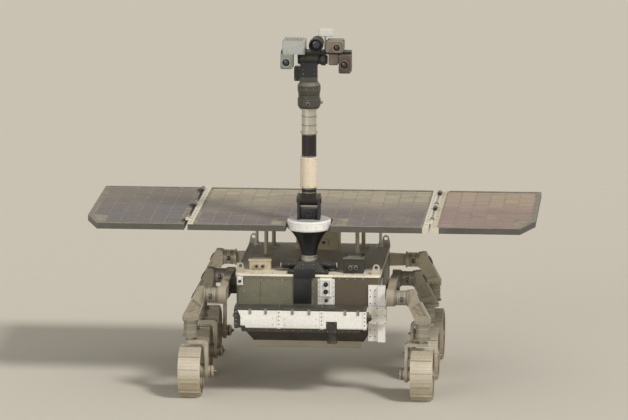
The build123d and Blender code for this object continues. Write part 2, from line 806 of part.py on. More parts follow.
# Hinge bars on the panel edges, with a pair of cheeks and a pin at each station
bar = block(
    CENTRE_HALF - HINGE_BAR_W,
    CENTRE_HALF,
    ARRAY_FRONT,
    ARRAY_REAR,
    ARRAY_TOP,
    ARRAY_TOP + HINGE_BAR_T,
)
hinge_pieces = both_sides(bar)
cheek_outline = [
    (CENTRE_HALF - HINGE_BAR_W + 6, ARRAY_TOP + HINGE_BAR_T),
    (CENTRE_HALF, ARRAY_TOP + HINGE_BAR_T),
    (HINGE_X, HINGE_Z - HINGE_LUG_R),
    (HINGE_X, HINGE_Z + HINGE_LUG_R),
]
for station in HINGE_STATIONS:
    reach = HINGE_LUG_HALF + SEAT + HINGE_CHEEK
    fitting = rod_y(HINGE_PIN_R, station - reach, station + reach, HINGE_X, HINGE_Z)
    for side in (-1, 1):
        near = station + side * (HINGE_LUG_HALF + SEAT)
        far = station + side * reach
        fitting += rod_y(HINGE_LUG_R, near, far, HINGE_X, HINGE_Z)
        fitting += plate_xz(cheek_outline, near, far)
    hinge_pieces += both_sides(fitting)
save(hinge_pieces, "array_hinge_bars")

# Wings: mitred frame rails with ribs and hinge lugs, and a board set into each
wing_outline = [
    (WING_INNER, ARRAY_FRONT),
    (SPAN_HALF - WING_CUT_X, ARRAY_FRONT),
    (SPAN_HALF, ARRAY_FRONT + WING_CUT_Y),
    (SPAN_HALF, ARRAY_REAR),
    (WING_INNER, ARRAY_REAR),
]
wing_frame = mitred_rails(wing_outline, FRAME_W, FRAME_LOW, ARRAY_TOP)
wing_bay_in = WING_INNER + FRAME_W
wing_bay_out = SPAN_HALF - FRAME_W
for rib_y in POST_Y:
    rib = block(
        wing_bay_in, wing_bay_out, rib_y - rail_half, rib_y + rail_half, FRAME_LOW, PANEL_LOW
    )
    wing_frame.append(rib)
lug_outline = [
    (HINGE_X, HINGE_Z + HINGE_LUG_R),
    (HINGE_X, HINGE_Z - HINGE_LUG_R),
    (WING_INNER, ARRAY_TOP),
    (WING_INNER + FRAME_W, ARRAY_TOP),
    (WING_INNER + FRAME_W, ARRAY_TOP + HINGE_BAR_T),
]
for station in HINGE_STATIONS:
    y0 = station - HINGE_LUG_HALF
    y1 = station + HINGE_LUG_HALF
    lug = rod_y(HINGE_LUG_R, y0, y1, HINGE_X, HINGE_Z) + plate_xz(lug_outline, y0, y1)
    lug -= rod_y(HINGE_PIN_R + FIT, y0 - 1, y1 + 1, HINGE_X, HINGE_Z)
    wing_frame.append(lug)
wing_board = plate_xy(inset(wing_outline, FRAME_W), PANEL_LOW, PANEL_TOP)
save(wing_frame, "wing_frame_left")
save([mirror(piece, about=Plane.YZ) for piece in wing_frame], "wing_frame_right")
save(wing_board, "wing_panel_left")
save(mirror(wing_board, about=Plane.YZ), "wing_panel_right")

# Mast foot: plate, tapered pedestal and a cross drum
foot_base_z = DECK_Z + FOOT_PLATE_T
foot = block(
    -FOOT_PLATE_HALF,
    FOOT_PLATE_HALF,
    MAST_Y - FOOT_PLATE_HALF * 0.8,
    MAST_Y + FOOT_PLATE_HALF * 0.8,
    DECK_Z,
    foot_base_z,
)
foot_base = Pos(0, MAST_Y, foot_base_z) * Rectangle(FOOT_BASE_X, FOOT_BASE_Y)
foot_head = Pos(0, MAST_Y, FOOT_TOP) * Rectangle(FOOT_HEAD, FOOT_HEAD)
foot += loft([foot_base, foot_head])
drum_z = DECK_Z + FOOT_DRUM_UP
drum_steps = [
    (-FOOT_DRUM_HALF, FOOT_DRUM_R * 0.8),
    (-FOOT_DRUM_HALF + FLANGE_T, FOOT_DRUM_R),
    (FOOT_DRUM_HALF - FLANGE_T, FOOT_DRUM_R),
    (FOOT_DRUM_HALF, FOOT_DRUM_R * 0.8),
]
foot += turned_x(drum_steps, MAST_Y, drum_z)
save(foot, "mast_foot")
save(rod_z(NECK_R, FOOT_TOP, NECK_TOP, 0, MAST_Y), "mast_neck")

# Mast cone, flared like a trumpet
flare = ThreePointArc(
    (CONE_BASE_R, NECK_TOP),
    (CONE_BASE_R + (CONE_R - CONE_BASE_R) * 0.36, NECK_TOP + CONE_H * 0.6),
    (CONE_R, CONE_TOP),
)
cone_face = make_face(flare + Polyline(flare @ 1, (0, CONE_TOP), (0, NECK_TOP), flare @ 0))
cone = revolve(Plane.XZ * cone_face, Axis.Z)
save(Pos(0, MAST_Y, 0) * cone, "mast_cone")

# Mast collar with the fork that the mast folds in
collar = rod_z(COLLAR_R, CONE_TOP, COLLAR_TOP, 0, MAST_Y)
collar = chamfer(collar.edges(), COLLAR_EDGE)
cheek_in = TUBE_R + TUBE_SIDE
cheek_out = cheek_in + CHEEK_T
for side in (-1, 1):
    cheek_points = [
        (MAST_Y - CHEEK_R * 1.4, COLLAR_TOP),
        (MAST_Y + CHEEK_R * 1.4, COLLAR_TOP),
        (MAST_Y + CHEEK_R, FOLD_Z),
        (MAST_Y - CHEEK_R, FOLD_Z),
    ]
    collar += plate_yz(cheek_points, side * cheek_in, side * cheek_out)
    collar += rod_x(CHEEK_R, side * cheek_in, side * cheek_out, MAST_Y, FOLD_Z)
collar += rod_x(FOLD_PIN_R, -cheek_out, cheek_out, MAST_Y, FOLD_Z)
save(collar, "mast_collar")

# Folding mast: knuckle and tube, sleeve, bare section with flanges, pan housing
knuckle_half = cheek_in - SEAT
tube = rod_x(CHEEK_R - 2, -knuckle_half, knuckle_half, MAST_Y, FOLD_Z)
tube += block(
    -TUBE_R, TUBE_R, MAST_Y - CHEEK_R + 2, MAST_Y + CHEEK_R - 2, FOLD_Z, FOLD_Z + CHEEK_R
)
tube += rod_z(TUBE_R, FOLD_Z + CHEEK_R / 2, BARE_Z, 0, MAST_Y)
tube -= rod_x(FOLD_PIN_R + FIT, -knuckle_half - 1, knuckle_half + 1, MAST_Y, FOLD_Z)
save(tube, "mast_tube")
sleeve_r = TUBE_R + SLEEVE_WALL
sleeve = rod_z(sleeve_r, SLEEVE_Z, SLEEVE_Z + SLEEVE_H, 0, MAST_Y)
sleeve = chamfer(sleeve.edges(), SLEEVE_WALL / 2)
sleeve -= rod_z(TUBE_R, SLEEVE_Z - 1, SLEEVE_Z + SLEEVE_H + 1, 0, MAST_Y)
save(sleeve, "mast_sleeve")
bare_top = BARE_Z + BARE_H
bare_steps = [
    (BARE_Z, sleeve_r),
    (BARE_Z + BARE_FLANGE, sleeve_r),
    (BARE_Z + BARE_FLANGE, TUBE_R),
    (bare_top - BARE_FLANGE, TUBE_R),
    (bare_top - BARE_FLANGE, sleeve_r),
    (bare_top, sleeve_r),
]
save(turned_z(bare_steps, 0, MAST_Y), "mast_bare_section")
housing_steps = [
    (bare_top, PAN_R - 8),
    (bare_top + PAN_H * 0.2, PAN_R),
    (bare_top + PAN_H * 0.7, PAN_R),
    (bare_top + PAN_H * 0.7, PAN_R - 4),
    (PAN_Z, PAN_R - 4),
]
pan_housing = turned_z(housing_steps, 0, MAST_Y)
pan_housing -= rod_z(FORK_SPINDLE_R + FIT, PAN_Z - 32, PAN_Z + 1, 0, MAST_Y)
save(pan_housing, "pan_housing")

# Pan fork: drum, tapered neck and tilt barrel, with a spindle down into the housing
fork_low = PAN_Z + PAN_GAP
fork_drum_top = fork_low + FORK_DRUM_H
drum_steps = [
    (fork_low, PAN_R - 4),
    (fork_low + FORK_DRUM_H * 0.3, PAN_R),
    (fork_low + FORK_DRUM_H * 0.75, PAN_R),
    (fork_drum_top, PAN_R - 12),
]
fork = turned_z(drum_steps, 0, MAST_Y)
fork += rod_z(FORK_SPINDLE_R, PAN_Z - 30, fork_low, 0, MAST_Y)
fork_base = Pos(0, MAST_Y, fork_drum_top) * Rectangle(2 * FORK_HALF_X, 2 * FORK_HALF_Y + 16)
fork_head = Pos(0, MAST_Y, TILT_Z) * Rectangle(2 * FORK_HALF_X, 2 * FORK_HALF_Y)
fork += loft([fork_base, fork_head])
barrel_half = BENCH_CHEEK - SEAT
fork += rod_x(TILT_R, -barrel_half, barrel_half, MAST_Y, TILT_Z)
fork -= rod_x(TILT_PIN_R + FIT, -BENCH_CHEEK, BENCH_CHEEK, MAST_Y, TILT_Z)
save(fork, "pan_fork")
pan_drive = block(
    -PAN_DRIVE_OUT,
    -FORK_HALF_X,
    MAST_Y - PAN_DRIVE_HALF,
    MAST_Y + PAN_DRIVE_HALF,
    TILT_Z - PAN_DRIVE_LOW,
    TILT_Z - PAN_DRIVE_HIGH,
)
pan_drive = chamfer(pan_drive.edges().group_by(Axis.X)[0], 5)
save(pan_drive, "pan_drive_box")

# Camera bench: tapered plate with windows, and two cheeks on the tilt pin
bench_taper = BENCH_HALF * 0.35
bench_outline = [
    (BENCH_RIGHT, MAST_Y - BENCH_HALF + bench_taper),
    (BENCH_RIGHT + BENCH_HALF, MAST_Y - BENCH_HALF),
    (BENCH_LEFT - BENCH_HALF, MAST_Y - BENCH_HALF),
    (BENCH_LEFT, MAST_Y - BENCH_HALF + bench_taper),
    (BENCH_LEFT, MAST_Y + BENCH_HALF - bench_taper),
    (BENCH_LEFT - BENCH_HALF, MAST_Y + BENCH_HALF),
    (BENCH_RIGHT + BENCH_HALF, MAST_Y + BENCH_HALF),
    (BENCH_RIGHT, MAST_Y + BENCH_HALF - bench_taper),
]
bench = plate_xy(bench_outline, BENCH_LOW, BENCH_TOP)
cheek_far = BENCH_CHEEK + BENCH_CHEEK_T
for side in (-1, 1):
    bench_cheek = [
        (MAST_Y - BENCH_HALF, BENCH_LOW),
        (MAST_Y - TILT_R + 5, TILT_Z),
        (MAST_Y + TILT_R - 5, TILT_Z),
        (MAST_Y + BENCH_HALF, BENCH_LOW),
    ]
    bench += plate_yz(bench_cheek, side * BENCH_CHEEK, side * cheek_far)
    bench += rod_x(TILT_R - 5, side * BENCH_CHEEK, side * cheek_far, MAST_Y, TILT_Z)
bench += rod_x(TILT_PIN_R, -cheek_far, cheek_far, MAST_Y, TILT_Z)
save(bench, "camera_bench")

# Tilt drive on the outer face of the bench's left cheek
tilt_drive_steps = [
    (cheek_far, TILT_DRIVE_R - 5),
    (cheek_far + 6, TILT_DRIVE_R - 5),
    (cheek_far + 6, TILT_DRIVE_R),
    (cheek_far + TILT_DRIVE_L - 10, TILT_DRIVE_R),
    (cheek_far + TILT_DRIVE_L - 10, TILT_DRIVE_R - 7),
    (cheek_far + TILT_DRIVE_L, TILT_DRIVE_R - 9),
]
save(turned_x(tilt_drive_steps, MAST_Y, TILT_Z), "tilt_drive")

# Wide angle pair hung under the bench ends
wide_front = MAST_Y - EYE_BOX_FRONT
wide_back = MAST_Y + EYE_BOX_BACK
wide_pair = []
for edge_x, tall in (
    (BENCH_LEFT - EYE_BOX_W, EYE_BOX_LEFT_H),
    (BENCH_RIGHT, EYE_BOX_RIGHT_H),
):
    wide = block(edge_x, edge_x + EYE_BOX_W, wide_front, wide_back, BENCH_LOW - tall, BENCH_LOW)
    wide = chamfer(wide.edges().group_by(Axis.Z)[0], 6)
    eye_z = BENCH_LOW - tall / 2
    wide += camera_eye(wide_front, edge_x + EYE_BOX_W / 2, eye_z, LENS_R, HOOD_R, LENS_L)
    wide_pair.append(wide)
save(wide_pair, "camera_wide_pair")

# Telephoto camera on its saddle
tele_z = BENCH_TOP + TELE_SADDLE + TELE_R
tele_front = MAST_Y - TELE_FRONT
tele_back = MAST_Y + TELE_BACK
tele_steps = [
    (tele_back, TELE_R * 0.8),
    (tele_back - 8, TELE_R),
    (tele_front + 50, TELE_R),
    (tele_front + 42, TELE_HOOD_R),
    (tele_front, TELE_HOOD_R),
]
tele = turned_y(tele_steps, TELE_X, tele_z)
tele -= rod_y(TELE_R - 2, tele_front - 1, tele_front + 30, TELE_X, tele_z)
tele += block(
    TELE_X - TELE_R * 0.6,
    TELE_X + TELE_R * 0.6,
    MAST_Y - BENCH_HALF,
    MAST_Y + BENCH_HALF,
    BENCH_TOP,
    BENCH_TOP + TELE_SADDLE + 8,
)
save(tele, "camera_telephoto")

# Camera electronics with cooling fins
unit_front = MAST_Y - BENCH_HALF - 15
unit_back = MAST_Y + BENCH_HALF + 5
unit_left = ELECTRONICS_RIGHT + ELECTRONICS_W
unit_top = BENCH_TOP + ELECTRONICS_H
electronics = block(ELECTRONICS_RIGHT, unit_left, unit_front, unit_back, BENCH_TOP, unit_top)
electronics += block(
    ELECTRONICS_RIGHT, unit_left, unit_front, MAST_Y - BENCH_HALF, BENCH_LOW, BENCH_TOP
)
electronics = chamfer(electronics.edges().filter_by(Axis.Z).sort_by(Axis.Y)[0:2], 5)
for number in range(FIN_COUNT):
    fin_x = ELECTRONICS_RIGHT + ELECTRONICS_W * (number + 1) / (FIN_COUNT + 1)
    electronics += block(
        fin_x - 1.5, fin_x + 1.5, unit_front + 8, unit_back - 8, unit_top, unit_top + FIN_H
    )
save(electronics, "camera_electronics")

# Spectrometer with a side eye and its lower part under the bench, and the target on its stem
spectro_left = SPECTRO_RIGHT + SPECTRO_W
spectro_front = MAST_Y - EYE_BOX_FRONT
spectro_top = BENCH_TOP + SPECTRO_H
spectro = block(SPECTRO_RIGHT, spectro_left, spectro_front, unit_back, BENCH_TOP, spectro_top)
spectro = chamfer(spectro.edges().filter_by(Axis.Y), 8)
spectro += camera_eye(
    spectro_front,
    spectro_left - SPECTRO_EYE_IN,
    BENCH_TOP + SPECTRO_H / 2,
    SPECTRO_EYE_R,
    SPECTRO_HOOD_R,
    LENS_L,
)
spectro_under = block(
    SPECTRO_RIGHT + SPECTRO_LOW_IN,
    SPECTRO_RIGHT + SPECTRO_LOW_IN + SPECTRO_LOW_W,
    MAST_Y - SPECTRO_LOW_HALF,
    MAST_Y + SPECTRO_LOW_HALF,
    BENCH_LOW - SPECTRO_LOW_H,
    BENCH_LOW,
)
spectro_under = chamfer(spectro_under.edges().group_by(Axis.Z)[0], 6)
save([spectro, spectro_under], "camera_spectrometer")
target_top = BENCH_TOP + TARGET_UP
target = block(
    TARGET_X - TARGET_HALF,
    TARGET_X + TARGET_HALF,
    MAST_Y - TARGET_DEEP / 2,
    MAST_Y + TARGET_DEEP / 2,
    target_top - TARGET_H,
    target_top,
)
target = chamfer(target.edges(), 3)
target += rod_z(TARGET_STEM_R, BENCH_TOP, target_top - TARGET_H, TARGET_STEM_X, MAST_Y)
save(target, "camera_top_target")

# Drill rail on the left front corner, with its carriage and arm
rail = block(
    BODY_HALF - RAIL_PLATE_IN,
    RAIL_X + RAIL_W / 2,
    BODY_FRONT - RAIL_PLATE_T,
    BODY_FRONT,
    RAIL_LOW,
    RAIL_TOP,
)
rail += block(
    RAIL_X - RAIL_W / 2,
    RAIL_X + RAIL_W / 2,
    RAIL_FRONT,
    BODY_FRONT - RAIL_PLATE_T,
    RAIL_LOW,
    RAIL_TOP,
)
save(rail, "drill_rail")
carriage_low = DRILL_PIVOT_Z - CARRIAGE_HALF
carriage_top = DRILL_PIVOT_Z + CARRIAGE_HALF
carriage = block(
    RAIL_X - RAIL_W / 2 - CARRIAGE_LIP,
    RAIL_X + RAIL_W / 2 + CARRIAGE_LIP,
    ARM_FRONT,
    RAIL_FRONT - SEAT,
    carriage_low,
    carriage_top,
)
for side in (-1, 1):
    lip_in = RAIL_X + side * (RAIL_W / 2 + SEAT)
    lip_out = RAIL_X + side * (RAIL_W / 2 + CARRIAGE_LIP)
    carriage += block(
        lip_in, lip_out, ARM_FRONT, RAIL_FRONT + RAIL_DEEP * 0.75, carriage_low, carriage_top
    )
arm_back = ARM_FRONT + ARM_PLATE_T
arm_outline = [
    (RAIL_X - RAIL_W / 2, carriage_low),
    (RAIL_X - RAIL_W / 2, carriage_top),
    (DRILL_PIVOT_X, DRILL_PIVOT_Z + ARM_PLATE_HALF),
    (DRILL_PIVOT_X, DRILL_PIVOT_Z - ARM_PLATE_HALF),
]
carriage += plate_xz(arm_outline, ARM_FRONT, arm_back)
carriage += rod_y(ARM_PLATE_HALF, ARM_FRONT, arm_back, DRILL_PIVOT_X, DRILL_PIVOT_Z)
pin_end = BOX_BACK - BOX_PIN_DEEP
carriage += rod_y(BOX_PIN_R, pin_end, arm_back, DRILL_PIVOT_X, DRILL_PIVOT_Z)
save(carriage, "drill_carriage")

# Drill box: rounded case with raised bands, pivot boss and bore
drill_box = block(
    BOX_RIGHT,
    BOX_LEFT,
    BOX_FRONT + BOX_BAND,
    BOX_BACK - BOX_BAND,
    BOX_LOW + BOX_BAND,
    BOX_TOP - BOX_BAND,
)
drill_box = fillet(drill_box.edges().filter_by(Axis.X), BOX_ROUND - BOX_BAND)
box_span = BOX_LEFT - BOX_RIGHT - BOX_BAND_W
for share in (0, 1 / 3, 2 / 3, 1):
    band_x = BOX_RIGHT + box_span * share
    band = block(band_x, band_x + BOX_BAND_W, BOX_FRONT, BOX_BACK, BOX_LOW, BOX_TOP)
    drill_box += fillet(band.edges().filter_by(Axis.X), BOX_ROUND)
drill_box += rod_y(BOX_BOSS_R, BOX_BACK - 10, ARM_FRONT - SEAT, DRILL_PIVOT_X, DRILL_PIVOT_Z)
drill_box -= rod_y(BOX_PIN_R + FIT, pin_end - 3, BOX_BACK + 20, DRILL_PIVOT_X, DRILL_PIVOT_Z)
imager_x = BOX_LEFT - IMAGER_IN
drill_box -= block(
    imager_x - IMAGER_MOUNT_HALF,
    imager_x + IMAGER_MOUNT_HALF,
    BOX_FRONT - 1,
    BOX_FRONT + SHOE_IN,
    BOX_LOW - 1,
    BOX_LOW + IMAGER_MOUNT_UP,
)
save(drill_box, "drill_box")

# Dark shoe under the drill box and the drill's tip at its left end
box_middle_y = (BOX_FRONT + BOX_BACK) / 2
shoe = block(
    BOX_RIGHT + 2 * BOX_BAND_W,
    BOX_LEFT - 2 * BOX_BAND_W,
    BOX_FRONT + SHOE_IN,
    BOX_BACK - SHOE_IN,
    BOX_LOW - SHOE_T,
    BOX_LOW + BOX_BAND,
)
shoe = chamfer(shoe.edges().group_by(Axis.Z)[0], SHOE_T / 3)
shoe -= drill_box
save(shoe, "drill_shoe")

# Close-up imager: a mount in the box's notch and a turned barrel under the shoe
shoe_low = BOX_LOW - SHOE_T
imager_front = BOX_FRONT + IMAGER_NOTCH / 2
imager = block(
    imager_x - IMAGER_MOUNT_HALF + 3,
    imager_x + IMAGER_MOUNT_HALF - 3,
    imager_front,
    BOX_FRONT + SHOE_IN,
    shoe_low,
    BOX_LOW + IMAGER_MOUNT_UP - 4,
)
imager = chamfer(imager.edges().group_by(Axis.Y)[0], 3)
imager_y = box_middle_y
barrel_steps = [
    (shoe_low - IMAGER_H, IMAGER_R),
    (shoe_low - IMAGER_H + IMAGER_LIP, IMAGER_R),
    (shoe_low - IMAGER_H + IMAGER_LIP * 1.5, IMAGER_R - 4),
    (shoe_low - 10, IMAGER_R - 4),
    (shoe_low - 10, IMAGER_R + 4),
    (shoe_low, IMAGER_R + 4),
]
imager += turned_z(barrel_steps, imager_x, imager_y)
imager_eye_low = shoe_low - IMAGER_H
imager -= rod_z(IMAGER_EYE_R, imager_eye_low - 1, imager_eye_low + IMAGER_LIP, imager_x, imager_y)
save(imager, "drill_imager")
tip_steps = [
    (BOX_LEFT, TIP_R),
    (BOX_LEFT + 10, TIP_R),
    (BOX_LEFT + 10, TIP_R * 0.6),
    (BOX_LEFT + 20, TIP_R * 0.6),
    (BOX_LEFT + 26, TIP_R * 0.3),
]
save(turned_x(tip_steps, box_middle_y, DRILL_PIVOT_Z), "drill_end_cap")

# Front camera housing with its two eyes in a recessed window
housing_top = BODY_TOP - 4
housing_low = housing_top - HOUSING_H
housing_front = BODY_FRONT - HOUSING_DEEP
housing = block(
    HOUSING_X, HOUSING_X + HOUSING_W, housing_front, BODY_FRONT, housing_low, housing_top
)
housing = fillet(housing.edges().group_by(Axis.Y)[0], 8)
window = block(
    HOUSING_X + 10,
    HOUSING_X + HOUSING_W - 10,
    housing_front - 1,
    housing_front + 5,
    housing_low + 10,
    housing_top - 10,
)
housing -= window
corner_x = -BODY_HALF + CORNER_IN
corner_sensor = block(
    corner_x,
    corner_x + CORNER_W,
    BODY_FRONT - CORNER_DEEP,
    BODY_FRONT,
    housing_top - CORNER_H,
    housing_top,
)
corner_sensor = chamfer(corner_sensor.edges().group_by(Axis.Y)[0], 4)
save([housing, corner_sensor], "front_camera_housing")
lenses = []
for share in (0.3, 0.7):
    lenses.append(
        camera_eye(
            housing_front + 5,
            HOUSING_X + HOUSING_W / 2,
            housing_low + HOUSING_H * share,
            HOUSING_EYE_R - 3,
            HOUSING_EYE_R,
            HOUSING_EYE_L,
        )
    )
save(lenses, "front_camera_lenses")

# Deck units: case, lid and connector block
units = []
for centre_x, width, from_front, depth, height in UNIT_TABLE:
    unit_y = BODY_FRONT + from_front
    case_top = DECK_Z + height - UNIT_LID
    half = width / 2
    unit = block(
        centre_x - half, centre_x + half, unit_y, unit_y + depth, DECK_Z, case_top
    )
    unit = fillet(unit.edges().filter_by(Axis.Z), 10)
    lid = block(
        centre_x - half - 3, centre_x + half + 3, unit_y - 3, unit_y + depth + 3, case_top,
        DECK_Z + height,
    )
    unit += chamfer(lid.edges().group_by(Axis.Z)[-1], 3)
    unit += block(
        centre_x - half * 0.5, centre_x + half * 0.5, unit_y - UNIT_PLUG, unit_y + 1,
        DECK_Z + height * 0.25, DECK_Z + height * 0.55,
    )
    units.append(unit)
save(units, "deck_units")

# Whip antennas with stepped bases
whip_steps = [
    (DECK_Z, WHIP_BASE_R),
    (DECK_Z + WHIP_BASE_H * 0.6, WHIP_BASE_R),
    (DECK_Z + WHIP_BASE_H, WHIP_R),
    (DECK_Z + WHIP_BASE_H + WHIP_H - WHIP_R, WHIP_R * 0.8),
    (DECK_Z + WHIP_BASE_H + WHIP_H, WHIP_R * 0.4),
]
whip = turned_z(whip_steps, BODY_HALF - WHIP_IN, BODY_REAR - WHIP_END)
save(both_sides(whip), "whip_antennas")

# Radar antenna below the rear bogie, on its bracket
radar_low = BELLY_Z + RADAR_UP
radar_front = BODY_REAR + RADAR_BACK
radar = block(
    -RADAR_HALF, RADAR_HALF, radar_front, radar_front + RADAR_DEEP, radar_low, radar_low + RADAR_H
)
radar = chamfer(radar.edges().group_by(Axis.Y)[-1], 14)
radar_arm = block(
    -RADAR_ARM_HALF,
    RADAR_ARM_HALF,
    BODY_REAR,
    radar_front,
    radar_low + 10,
    radar_low + 10 + RADAR_ARM_H,
)
save([radar, radar_arm], "radar_antenna")

# Rear service panel and stop button
panel_low = BELLY_Z + REAR_PANEL_UP
rear_face = BODY_REAR + REAR_PANEL_T
rear_panel = block(
    REAR_PANEL_X - REAR_PANEL_HALF,
    REAR_PANEL_X + REAR_PANEL_HALF,
    BODY_REAR,
    rear_face,
    panel_low,
    panel_low + REAR_PANEL_H,
)
rear_panel = fillet(rear_panel.edges().filter_by(Axis.Y), 10)
rear_panel = chamfer(rear_panel.edges().group_by(Axis.Y)[-1], 3)
save(rear_panel, "rear_panel")
stop_steps = [
    (rear_face, STOP_NECK_R),
    (rear_face + STOP_NECK_L, STOP_NECK_R),
    (rear_face + STOP_NECK_L, STOP_R),
    (rear_face + STOP_NECK_L + STOP_T * 0.5, STOP_R),
    (rear_face + STOP_NECK_L + STOP_T, STOP_R * 0.6),
]
stop_x = REAR_PANEL_X + REAR_PANEL_HALF / 2
save(turned_y(stop_steps, stop_x, panel_low + REAR_PANEL_H - 30), "stop_button")
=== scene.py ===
import json
from itertools import product
from math import cos, pi, radians, sin

import bmesh
import bpy
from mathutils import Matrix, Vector


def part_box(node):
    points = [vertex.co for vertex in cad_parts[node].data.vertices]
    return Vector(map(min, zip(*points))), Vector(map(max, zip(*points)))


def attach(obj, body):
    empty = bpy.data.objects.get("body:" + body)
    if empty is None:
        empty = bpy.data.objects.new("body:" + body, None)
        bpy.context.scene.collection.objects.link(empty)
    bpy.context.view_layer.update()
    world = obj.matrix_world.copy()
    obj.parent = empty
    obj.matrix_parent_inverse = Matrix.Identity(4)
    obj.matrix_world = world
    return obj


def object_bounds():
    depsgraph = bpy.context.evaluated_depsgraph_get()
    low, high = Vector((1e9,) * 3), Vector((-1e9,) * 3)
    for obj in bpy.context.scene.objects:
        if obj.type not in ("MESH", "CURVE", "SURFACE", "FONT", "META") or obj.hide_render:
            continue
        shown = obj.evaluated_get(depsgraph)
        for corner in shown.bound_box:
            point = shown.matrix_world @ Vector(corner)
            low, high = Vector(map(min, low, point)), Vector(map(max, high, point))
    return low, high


# Shapes are drawn in millimetres and made objects in metres
MM = 0.001
POINT_RADIUS = 0.05
WELD = 0.02
SHARP_ANGLE = 35
FLOOR_HALF = 600000
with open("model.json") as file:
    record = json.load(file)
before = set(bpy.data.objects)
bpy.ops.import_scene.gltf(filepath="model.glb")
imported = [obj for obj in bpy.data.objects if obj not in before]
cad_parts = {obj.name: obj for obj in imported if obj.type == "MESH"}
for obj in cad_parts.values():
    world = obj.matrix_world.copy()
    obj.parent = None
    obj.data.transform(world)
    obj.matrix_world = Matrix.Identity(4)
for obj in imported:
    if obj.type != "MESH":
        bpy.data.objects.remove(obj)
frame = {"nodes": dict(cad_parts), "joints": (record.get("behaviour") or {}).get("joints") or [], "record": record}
cad_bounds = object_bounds()
nodes = frame["nodes"]
joint_place = {j["name"]: Vector(j["pos_m"]) / MM for j in frame["joints"] if "pos_m" in j}
scene = bpy.context.scene

# Picture, in degrees, metres and sensor millimetres
AZIMUTH = 4.5
ELEVATION = 11.0
DISTANCE = 30.0
VIEW_WIDTH = 3.45
AIM_UP = -0.065
SENSOR = 36.0

# Fastener heads: scale of radius and height
SMALL = (2.6, 1.8)
MIDDLE = (4.2, 2.6)
LARGE = (6.2, 4.2)
TREAD_RIVET = (2.2, 1.2)
TARGET_SCREW = (1.8, 1)
IMAGER_SCREW = (2, 1)

# Solar cells
CELL_LONG = 78
CELL_WIDE = 38
CELL_GAP = 3.5
CELL_THICK = 0.8
CELL_CROP = 9
BOARD_EDGE = 24

# Ways, and places that several details share
LEFT, BACK, UP = Vector((1, 0, 0)), Vector((0, 1, 0)), Vector((0, 0, 1))
AHEAD, DOWN = -BACK, -UP
SIDES = ((-1, -LEFT), (1, LEFT))
BASE = "chassis"
MAST_Y = joint_place["mast_fold"].y
FORK_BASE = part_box("mast_cone")[1].z / MM + 56
BEAM_Z = 560
DRILL_Y, DRILL_Z = -551, 452.5
DECK_TOP = 662
FOOT_TOP = DECK_TOP + 8
PANEL_UNDER = 914
RAIL_HALF = 12
NOTCH_HALF = 122


def tone(code):
    parts = [int(code[i:i + 2], 16) / 255 for i in (0, 2, 4)]
    linear = [p / 12.92 if p <= 0.04045 else ((p + 0.055) / 1.055) ** 2.4 for p in parts]
    return (*linear, 1.0)


def shade(colour, factor):
    return (*[min(c * factor, 1.0) for c in colour[:3]], 1.0)


def add(tree, kind, inputs=None, **settings):
    node = tree.nodes.new(kind)
    for name, value in settings.items():
        setattr(node, name, value)
    for name, value in (inputs or {}).items():
        if isinstance(value, bpy.types.NodeSocket):
            tree.links.new(value, node.inputs[name])
        else:
            node.inputs[name].default_value = value
    return node


# Tree that the first socket among the values belongs to
def tree_of(*values):
    return next(v.id_data for v in values if isinstance(v, bpy.types.NodeSocket))


def maths(operation, first, second=0.0, clamp=False):
    return add(tree_of(first, second), "ShaderNodeMath", {0: first, 1: second},
               operation=operation, use_clamp=clamp).outputs[0]


def times(first, second):
    return maths("MULTIPLY", first, second)


def above(value, limit):
    return maths("GREATER_THAN", value, limit)


def below(value, limit):
    return maths("LESS_THAN", value, limit)


def spread(value, low, high, to_low=0.0, to_high=1.0):
    inputs = {"Value": value, "From Min": low, "From Max": high, "To Min": to_low,
              "To Max": to_high}
    return add(value.id_data, "ShaderNodeMapRange", inputs, clamp=True).outputs["Result"]


def blend(share, first, second, kind="MIX"):
    if isinstance(second, str):
        second = tone(second)
    return add(tree_of(share, first, second), "ShaderNodeMix", {0: share, 6: first, 7: second},
               data_type="RGBA", blend_type=kind, clamp_factor=True).outputs[2]


def dim(colour, share):
    grey = add(share.id_data, "ShaderNodeCombineColor",
               {"Red": share, "Green": share, "Blue": share})
    return blend(1.0, colour, grey.outputs[0], "MULTIPLY")


def noise(coords, scale, detail=4.0, rough=0.55, stretch=None):
    tree = coords.id_data
    if stretch:
        coords = add(tree, "ShaderNodeMapping", {"Vector": coords, "Scale": stretch}).outputs[0]
    inputs = {"Vector": coords, "Scale": scale, "Detail": detail, "Roughness": rough}
    return add(tree, "ShaderNodeTexNoise", inputs).outputs[0]


def blank_material(name):
    material = bpy.data.materials.new(name)
    material.use_nodes = True
    material.node_tree.nodes.clear()
    return material, material.node_tree


def object_coords(tree):
    return add(tree, "ShaderNodeTexCoord").outputs["Object"]


def split(vector):
    return add(vector.id_data, "ShaderNodeSeparateXYZ", {"Vector": vector}).outputs


def surface(tree, inputs):
    shader = add(tree, "ShaderNodeBsdfPrincipled", inputs)
    add(tree, "ShaderNodeOutputMaterial", {"Surface": shader.outputs[0]})


